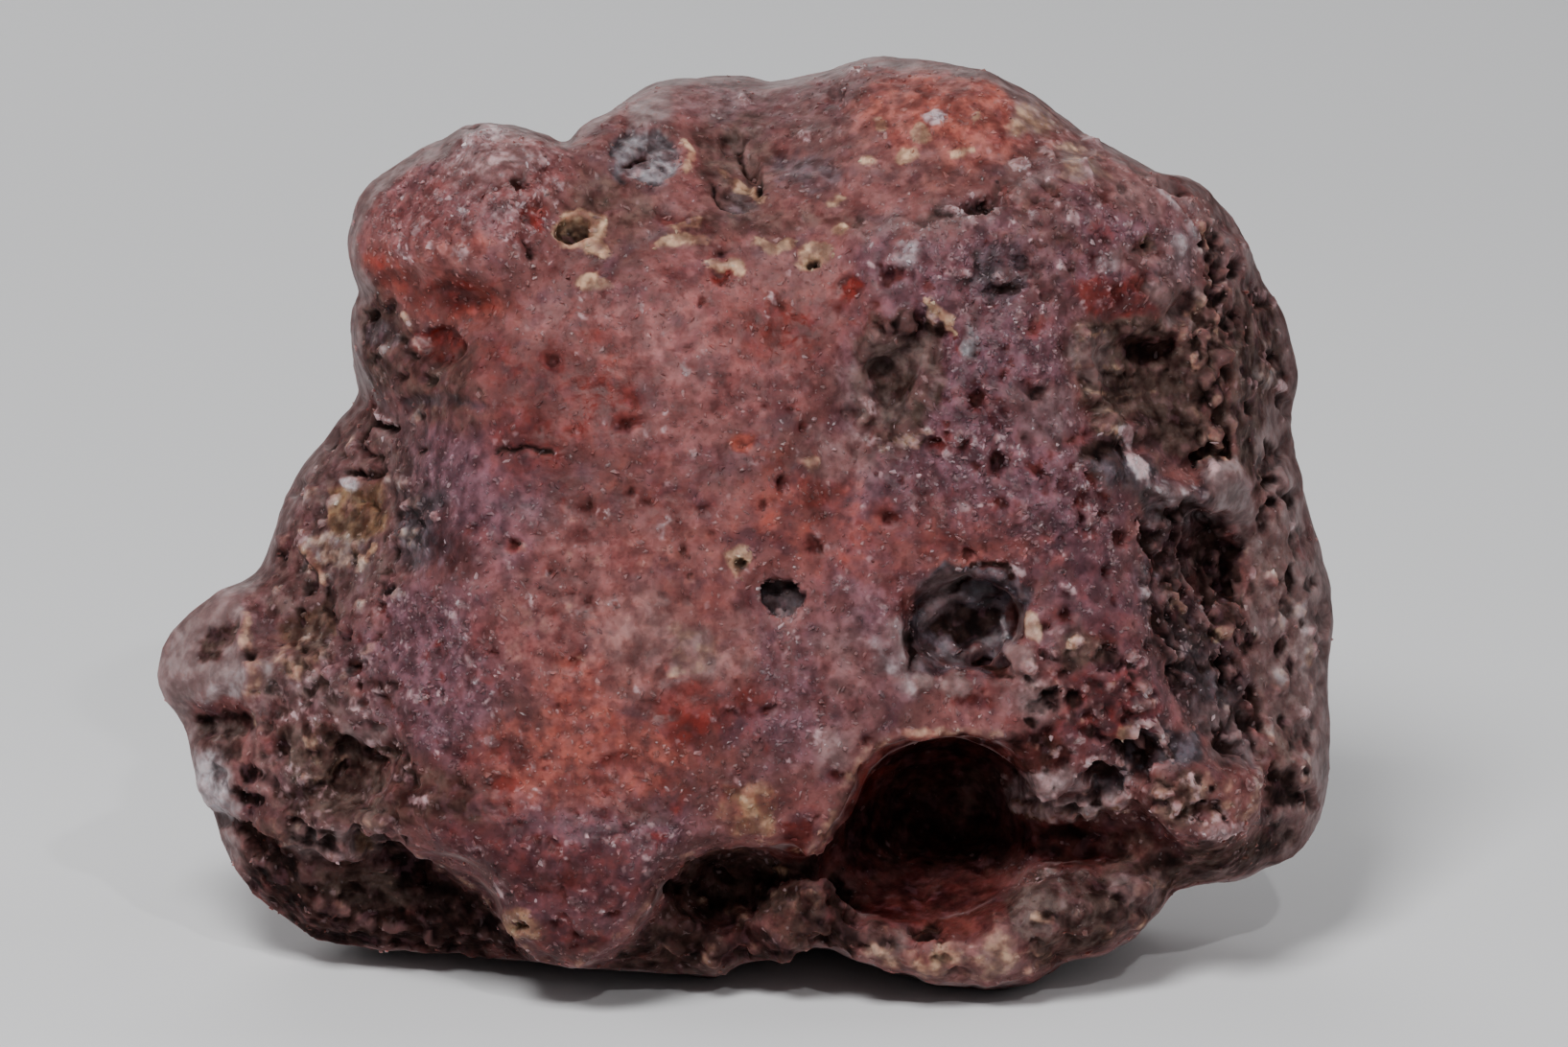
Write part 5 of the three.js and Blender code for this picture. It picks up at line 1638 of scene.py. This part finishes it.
def druse_group() -> Tree:
    """Builds the group for sugary quartz: small facets that face their own way, and a few cells picked for painted
    glints.
    """
    tree, nodes, given, out = new_group(
        "sugary druse",
        {"Vector": ("NodeSocketVector", None), "Scale": ("NodeSocketFloat", 4200.0),
         "Tilt": ("NodeSocketFloat", 0.5), "Normal": ("NodeSocketVector", None)},
        {"Normal": "NodeSocketVector", "Glint": "NodeSocketFloat", "Own": "NodeSocketFloat"})
    vector, scale, tilt, normal = given.outputs[:4]
    cells = nodes.add("ShaderNodeTexVoronoi", {"Vector": vector, "Scale": scale})
    way = nodes.vector("SUBTRACT", {0: cells.outputs["Color"], 1: (0.5, 0.5, 0.5)})
    turned = nodes.vector("ADD", {0: normal, 1: nodes.vector("SCALE", {0: way, "Scale": tilt})})
    split = nodes.add("ShaderNodeSeparateColor", {"Color": cells.outputs["Color"]})
    chosen = nodes.spread(split.outputs[0], 0.80, 0.97)
    core = nodes.spread(cells.outputs["Distance"], 0.45, 0.10)
    tree.links.new(nodes.vector("NORMALIZE", {0: turned}), out.inputs["Normal"])
    tree.links.new(nodes.times(chosen, core), out.inputs["Glint"])
    tree.links.new(split.outputs[1], out.inputs["Own"])
    return tree


@dataclass(frozen=True)
class Stain:
    """How one tone looks: its colours, the noise that frays its edge and how far, how rough and full it is."""

    tone: Tone
    dark: tuple[float, float, float]
    light: tuple[float, float, float]
    noise: str
    fray: float
    softness: float
    roughness: float
    most: float


STAINS: tuple[Stain, ...] = (
    Stain(Tone.LILAC, (0.055, 0.020, 0.029), (0.138, 0.058, 0.074), "a1", 0.35, 0.45, 0.55, 0.92),
    Stain(Tone.ROSE, (0.132, 0.036, 0.035), (0.238, 0.076, 0.073), "a2", 0.40, 0.45, 0.55, 0.85),
    Stain(Tone.IRON, (0.165, 0.033, 0.024), (0.340, 0.080, 0.056), "b0", 0.40, 0.45, 0.52, 0.88),
    Stain(Tone.BLOOD, (0.060, 0.004, 0.003), (0.140, 0.010, 0.006), "b1", 0.40, 0.42, 0.46, 0.95),
    Stain(Tone.WINE, (0.026, 0.005, 0.005), (0.080, 0.017, 0.015), "b1", 0.30, 0.45, 0.46, 0.94),
    Stain(Tone.OCHRE, (0.110, 0.052, 0.022), (0.260, 0.140, 0.066), "b2", 0.35, 0.40, 0.62, 0.9),
    Stain(Tone.CLAY, (0.026, 0.015, 0.012), (0.080, 0.051, 0.042), "b0", 0.25, 0.42, 0.66, 0.94),
    Stain(Tone.SLATE, (0.012, 0.009, 0.012), (0.066, 0.054, 0.066), "b2", 0.35, 0.40, 0.44, 0.92),
    Stain(Tone.RIND, (0.128, 0.083, 0.081), (0.186, 0.127, 0.125), "a0", 0.16, 0.45, 0.50, 0.92),
    Stain(Tone.CREAM, (0.170, 0.095, 0.060), (0.480, 0.300, 0.190), "b2", 0.45, 0.34, 0.60, 0.90),
    Stain(Tone.MILK, (0.170, 0.146, 0.156), (0.400, 0.345, 0.362), "b1", 0.18, 0.45, 0.34, 0.92),
    # pinkish white: for pale crystals and for painted glints
    Stain(Tone.FROST, (0.180, 0.105, 0.110), (0.400, 0.260, 0.270), "c2", 0.45, 0.34, 0.30, 0.85),
    # near black: for black crust and for painted shade
    Stain(Tone.SOOT, (0.0025, 0.0010, 0.0009), (0.020, 0.009, 0.007), "b0", 0.40, 0.38, 0.70, 0.96),
)


@dataclass(frozen=True)
class Chalcedony:
    """The stone's finish: rose-brown chalcedony with its stains, druse and fine pores, painted shade in its hollows,
    crests painted paler and painted glints.
    """

    name: str = "chalcedony"
    brown: tuple[float, float, float] = (0.083, 0.028, 0.026)
    pink: tuple[float, float, float] = (0.178, 0.060, 0.057)
    plum: tuple[float, float, float] = (0.055, 0.016, 0.024)
    # the colour of the painted glints, on the skin and on pale shards
    glint: tuple[float, float, float] = (0.52, 0.33, 0.35)
    specular: float = 0.17
    roughness: float = 0.55
    facets: float = 2600.0
    grains: float = 2000.0
    shards: bool = False

    def build(self, fray: Tree, druse: Tree) -> bpy.types.Material:
        """Makes the material.

        Args:
            fray: The group that frays a mask's edge.
            druse: The group for sugary quartz.

        Returns:
            The material, which reads the masks on the mesh.
        """
        material = bpy.data.materials.new(self.name)
        material.use_nodes = True
        material.node_tree.nodes.clear()
        nodes = Nodes(material.node_tree)
        coords = nodes.add("ShaderNodeTexCoord").outputs["Object"]
        masks = {name: nodes.add("ShaderNodeAttribute", attribute_name=name).outputs["Fac"] for name in MASKS}
        noises = {}
        for letter, scale, detail in (("a", 540.0, 2.5), ("b", 1250.0, 2.5), ("c", 3000.0, 2.0)):
            for number, channel in enumerate(nodes.three_noises(coords, scale, detail)):
                noises[f"{letter}{number}"] = channel
        wide = nodes.add("ShaderNodeTexNoise", {"Vector": coords, "Scale": 170.0, "Detail": 3.0}).outputs["Fac"]

        colour = nodes.mix(nodes.spread(wide, 0.38, 0.62), (*self.brown, 1), (*self.pink, 1))
        colour = nodes.mix(nodes.spread(noises["a0"], 0.50, 0.66, 0.0, 0.7), colour, (*self.plum, 1))
        grain = nodes.spread(nodes.math("ADD", noises["a1"], noises["b1"]), 0.76, 1.24)
        rough: object = self.roughness
        for stain in STAINS:
            frayed = nodes.add("ShaderNodeGroup", {
                "Mask": masks[stain.tone.value], "Noise": noises[stain.noise], "Fray": stain.fray,
                "Softness": stain.softness}, node_tree=fray)
            cover = nodes.times(frayed.outputs["Cover"], stain.most)
            own = nodes.mix(grain, (*stain.dark, 1), (*stain.light, 1))
            colour = nodes.mix(cover, colour, own)
            rough = nodes.add("ShaderNodeMix", {0: cover, 2: rough, 3: stain.roughness}).outputs[0]

        bare = nodes.math("SUBTRACT", 1.0, nodes.spread(masks["rind"], 0.3, 0.9, 0.0, 0.7))
        colour = self.mottled(nodes, colour, noises, bare)
        sugar = nodes.times(nodes.spread(masks["sugar"], 0.1, 0.9), bare)
        bump = self.bumps(nodes, masks, noises)
        facets = nodes.add("ShaderNodeGroup", {"Vector": coords, "Scale": self.facets, "Normal": bump,
                                               "Tilt": nodes.times(sugar, 0.42)}, node_tree=druse)
        colour = self.scaled(nodes, colour, nodes.spread(facets.outputs["Own"], 0.0, 1.0, 0.90, 1.12), 1.0)
        # painted shade: sunk places are darkened
        colour = nodes.mix(nodes.times(masks["hollow"], 0.7), colour, (0.26, 0.12, 0.11, 1), "MULTIPLY")
        # crests painted paler: partly edge wear, partly painted highlight
        colour = nodes.mix(nodes.times(masks["crest"], 0.25), colour, (0.34, 0.17, 0.165, 1))
        if self.shards:
            colour = self.sugared(nodes, colour)
        else:
            # painted glints on the skin
            colour = self.glinting(nodes, colour, coords, noises, druse, nodes.math("ADD", sugar, 0.2), bare)
        rough = nodes.math("ADD", rough, nodes.times(nodes.math("SUBTRACT", noises["b2"], 0.5), 0.3))

        dull = masks["hollow"]
        for tone in (Tone.SOOT, Tone.CLAY, Tone.WINE):
            dull = nodes.math("MAXIMUM", dull, masks[tone.value])
        gloss = nodes.spread(dull, 0.1, 0.7, self.specular, self.specular * 0.15)
        shader = nodes.add("ShaderNodeBsdfPrincipled", {
            "Base Color": colour, "Roughness": rough, "Normal": facets.outputs["Normal"], "IOR": 1.54,
            "Specular IOR Level": gloss, "Subsurface Weight": 0.5,
            "Subsurface Radius": (1.0, 0.38, 0.32), "Subsurface Scale": 0.0010})
        out = nodes.add("ShaderNodeOutputMaterial")
        nodes.tree.links.new(shader.outputs[0], out.inputs["Surface"])
        return material

    def glinting(self, nodes: Nodes, colour: Socket, coords: Socket, noises: dict, druse: Tree, thick: Socket,
                 bare: Socket) -> Socket:
        """Paints small glints over a colour, in flocks: painted highlights of the druse.

        Args:
            nodes: The material's node builder.
            colour: The colour.
            coords: The stone's own coordinates.
            noises: The noise channels by name.
            druse: The group for sugary quartz.
            thick: How thickly the grains lie.
            bare: How bare of rind each place is.

        Returns:
            The colour with its grains.
        """
        stir = nodes.add("ShaderNodeCombineXYZ", {0: noises["b0"], 1: noises["b1"], 2: noises["c1"]}).outputs[0]
        shaken = nodes.vector("MULTIPLY_ADD", {0: stir, 1: (0.0006, 0.0006, 0.0006), 2: coords})
        grains = nodes.add("ShaderNodeGroup", {"Vector": shaken, "Scale": self.grains}, node_tree=druse)
        flock = nodes.times(nodes.spread(noises["a1"], 0.46, 0.60), thick)
        sparkle = nodes.times(grains.outputs["Glint"], nodes.math("MINIMUM", flock, 0.85))
        return nodes.mix(nodes.times(sparkle, bare), colour, (*self.glint, 1))

    def scaled(self, nodes: Nodes, colour: Socket, light: Socket, hue: float) -> Socket:
        """Makes a colour lighter or darker, and redder as it darkens.

        Args:
            nodes: The material's node builder.
            colour: The colour.
            light: How much lighter it gets, 1 for not at all.
            hue: How much redder the dark gets, 1 for not at all.

        Returns:
            The changed colour.
        """
        split = nodes.add("ShaderNodeSeparateColor", {"Color": colour}).outputs
        strong = nodes.math("POWER", light, hue) if hue != 1.0 else light
        return nodes.add("ShaderNodeCombineColor", {0: nodes.times(split[0], light), 1: nodes.times(split[1], strong),
                                                    2: nodes.times(split[2], strong)}).outputs[0]

    def mottled(self, nodes: Nodes, colour: Socket, noises: dict, bare: Socket) -> Socket:
        """Breaks a colour into soft blotches, pale grains and dark red gaps.

        Args:
            nodes: The material's node builder.
            colour: The colour to break.
            noises: The noise channels by name.
            bare: How bare of rind each place is.

        Returns:
            The broken colour.
        """
        blotch = nodes.spread(noises["b1"], 0.34, 0.66, 0.80, 1.20)
        colour = self.scaled(nodes, colour, blotch, 1.3)
        wine = nodes.times(nodes.spread(noises["a2"], 0.55, 0.66), nodes.times(bare, 0.62))
        colour = nodes.mix(wine, colour, (0.46, 0.22, 0.22, 1), "MULTIPLY")
        gap = nodes.times(nodes.spread(noises["c2"], 0.45, 0.34), nodes.times(bare, 0.35))
        colour = nodes.mix(gap, colour, (0.45, 0.20, 0.19, 1), "MULTIPLY")
        pale = nodes.times(nodes.spread(noises["b2"], 0.54, 0.68), nodes.times(bare, 0.6))
        paler = nodes.mix(1.0, colour, (0.046, 0.020, 0.025, 1), "ADD")
        return nodes.mix(pale, colour, paler)

    def sugared(self, nodes: Nodes, colour: Socket) -> Socket:
        """Tints each shard its own way, and gives some of them the pale glint colour: partly pale quartz, partly a
        painted highlight.
        """
        tint = nodes.add("ShaderNodeAttribute", attribute_name="tint").outputs["Fac"]
        pale = nodes.add("ShaderNodeAttribute", attribute_name="pale").outputs["Fac"]
        colour = self.scaled(nodes, colour, nodes.spread(tint, 0.0, 1.0, 0.85, 1.35), 1.1)
        return nodes.mix(pale, colour, (*self.glint, 1))

    def bumps(self, nodes: Nodes, masks: dict, noises: dict) -> Socket:
        """Adds the relief that is finer than the mesh: grain, pores and fine cracks.

        Args:
            nodes: The material's node builder.
            masks: The masks by name.
            noises: The noise channels by name.

        Returns:
            The bumped normal.
        """
        dirty = nodes.math("MAXIMUM", masks["clay"], masks["soot"])
        crumbs = nodes.times(noises["b0"], nodes.math("ADD", 0.5, dirty))
        height = nodes.math("ADD", nodes.times(noises["c0"], 0.45), crumbs)
        return nodes.add("ShaderNodeBump", {"Height": height, "Strength": 0.6, "Distance": 0.00018}).outputs[0]


@dataclass
class Studio:
    """The plain pale floor, the soft lights and the camera of the photograph."""

    distance: float = 0.62  # from the stone to the camera, in metres
    sensor: float = 36.0
    face: float = 6.0  # how far the front face stands before the stone's middle, in mm
    heart: tuple[float, float, float] = (0.0, 0.0, 0.022)  # where the lamps aim
    # each lamp's name, place and side in metres, and its power in watts
    lamps: tuple[tuple[str, tuple[float, float, float], float, float], ...] = (
        ("key", (-0.08, -0.26, 0.33), 0.12, 2.05), ("front", (0.10, -0.42, 0.16), 0.30, 0.10),
        ("right", (0.34, 0.08, 0.20), 0.20, 0.42), ("left", (-0.34, 0.04, 0.16), 0.20, 0.30),
        ("back", (-0.08, 0.34, 0.24), 0.26, 0.55), ("spark", (0.10, -0.34, 0.30), 0.012, 0.40))

    def build(self, offset: np.ndarray) -> None:
        """Sets the floor, lights and camera.

        Args:
            offset: The stone's middle in the view, in millimetres.
        """
        self.floor()
        for lamp in self.lamps:
            self.light(*lamp)
        self.sky()
        self.camera(offset)

    def floor(self) -> None:
        """Lays a wide pale floor."""
        bpy.ops.object.select_all(action="DESELECT")
        bpy.ops.mesh.primitive_plane_add(size=6.0, location=(0, 0, 0))
        floor = bpy.context.view_layer.objects.active
        floor.name = "floor"
        material = bpy.data.materials.new("pale paper")
        material.use_nodes = True
        nodes = Nodes(material.node_tree)
        shader = material.node_tree.nodes["Principled BSDF"]
        grain = nodes.add("ShaderNodeTexNoise", {"Scale": 60.0, "Detail": 3.0}).outputs["Fac"]
        colour = nodes.mix(grain, (0.66, 0.66, 0.67, 1), (0.70, 0.70, 0.71, 1))
        material.node_tree.links.new(colour, shader.inputs["Base Color"])
        shader.inputs["Roughness"].default_value = 0.85
        floor.data.materials.append(material)

    def light(self, name: str, place: tuple[float, float, float], size: float, power: float) -> None:
        """Hangs one square soft light that faces the stone.

        Args:
            name: The light's name.
            place: Where it hangs, in metres.
            size: Its side, in metres.
            power: Its power in watts.
        """
        data = bpy.data.lights.new(name, "AREA")
        data.size = size
        data.energy = power
        lamp = bpy.data.objects.new(name, data)
        bpy.context.scene.collection.objects.link(lamp)
        lamp.location = place
        lamp.rotation_euler = (Vector(self.heart) - Vector(place)).to_track_quat("-Z", "Y").to_euler()

    def sky(self) -> None:
        """Fills the room with a little even light."""
        world = bpy.data.worlds.new("room")
        bpy.context.scene.world = world
        world.use_nodes = True
        background = world.node_tree.nodes["Background"]
        background.inputs["Color"].default_value = (0.80, 0.82, 0.86, 1)
        background.inputs["Strength"].default_value = 0.11

    def camera(self, offset: np.ndarray) -> None:
        """Sets the camera as the photograph's: a little above, with a long lens.

        Args:
            offset: The stone's middle in the view, in millimetres.
        """
        across = (VIEW.width / 2 - VIEW.middle_x) * VIEW.pixel + offset[0]
        up = (VIEW.middle_y - VIEW.height / 2) * VIEW.pixel + offset[1]
        aim = np.array([across, 0.0, 0.0]) + VIEW.up * up + VIEW.towards * self.face
        data = bpy.data.cameras.new("camera")
        data.sensor_width = self.sensor
        data.lens = self.sensor * self.distance / (VIEW.width * VIEW.pixel * MM)
        data.clip_start = 0.01
        camera = bpy.data.objects.new("camera", data)
        bpy.context.scene.collection.objects.link(camera)
        camera.location = Vector(aim * MM + VIEW.towards * self.distance)
        camera.rotation_euler = (math.pi / 2 - VIEW.elevation, 0.0, 0.0)
        bpy.context.scene.camera = camera


def druse_weights(stone: Piece) -> tuple[np.ndarray, np.ndarray]:
    """Finds how thickly the shards and the bright grains stand at each vertex of the stone."""
    front, sugar, crest, soot, clay, frost, cream, rind, wine = (
        read_mask(stone.data, name)
        for name in "front sugar crest soot clay frost cream rind wine".split())
    clean = front * (1 - 0.85 * np.maximum(soot, clay)) * np.clip(1 - 1.4 * rind, 0, 1)
    clean *= (1 - 0.7 * wine) * (1 - cream)
    flock = ramp(0.05, 0.4, PointNoise(171).layers(read_points(stone.data), 3.2, 3))
    bright = clean * (0.08 + flock) * (0.01 + 0.25 * sugar ** 2 + 0.9 * crest ** 2 + 0.8 * frost)
    return clean * (0.15 + sugar + 0.6 * crest), bright


def settle(piece: Piece, material: bpy.types.Material) -> None:
    """Gives a finished piece its material, slot and body."""
    piece.data.materials.clear()
    piece.data.materials.append(material)
    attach(piece, "root")
    log.info("%s: %d triangles", piece.name, len(piece.data.polygons))


def main() -> None:
    """Builds the stone and its druse, dresses them and sets their studio."""
    logging.basicConfig(level=logging.INFO, format="%(message)s")
    skin = StoneSkin()
    stone = skin.build()
    fray, druse = broken_edge_group(), druse_group()
    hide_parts("agate")
    settle(stone, Chalcedony().build(fray, druse))
    finish = Chalcedony("sugar quartz", specular=0.35, roughness=0.40, shards=True).build(fray, druse)
    thick, bright = druse_weights(stone)
    sugar = Druse("druse_grains", shards=12000, smallest=0.08, largest=0.24, pale=0.10, seed=5)
    settle(sugar.build(stone, thick), finish)
    # pale quartz shards on crests and frost; their pale colour is partly the quartz and partly a painted highlight
    grains = Druse("bright_grains", shards=480, smallest=0.10, largest=0.30, pale=0.6, seed=6)
    settle(grains.build(stone, bright), finish)
    Studio().build(skin.offset)
    log.info("studio: floor, six lights and the camera")


if __name__ == "__main__":
    main()
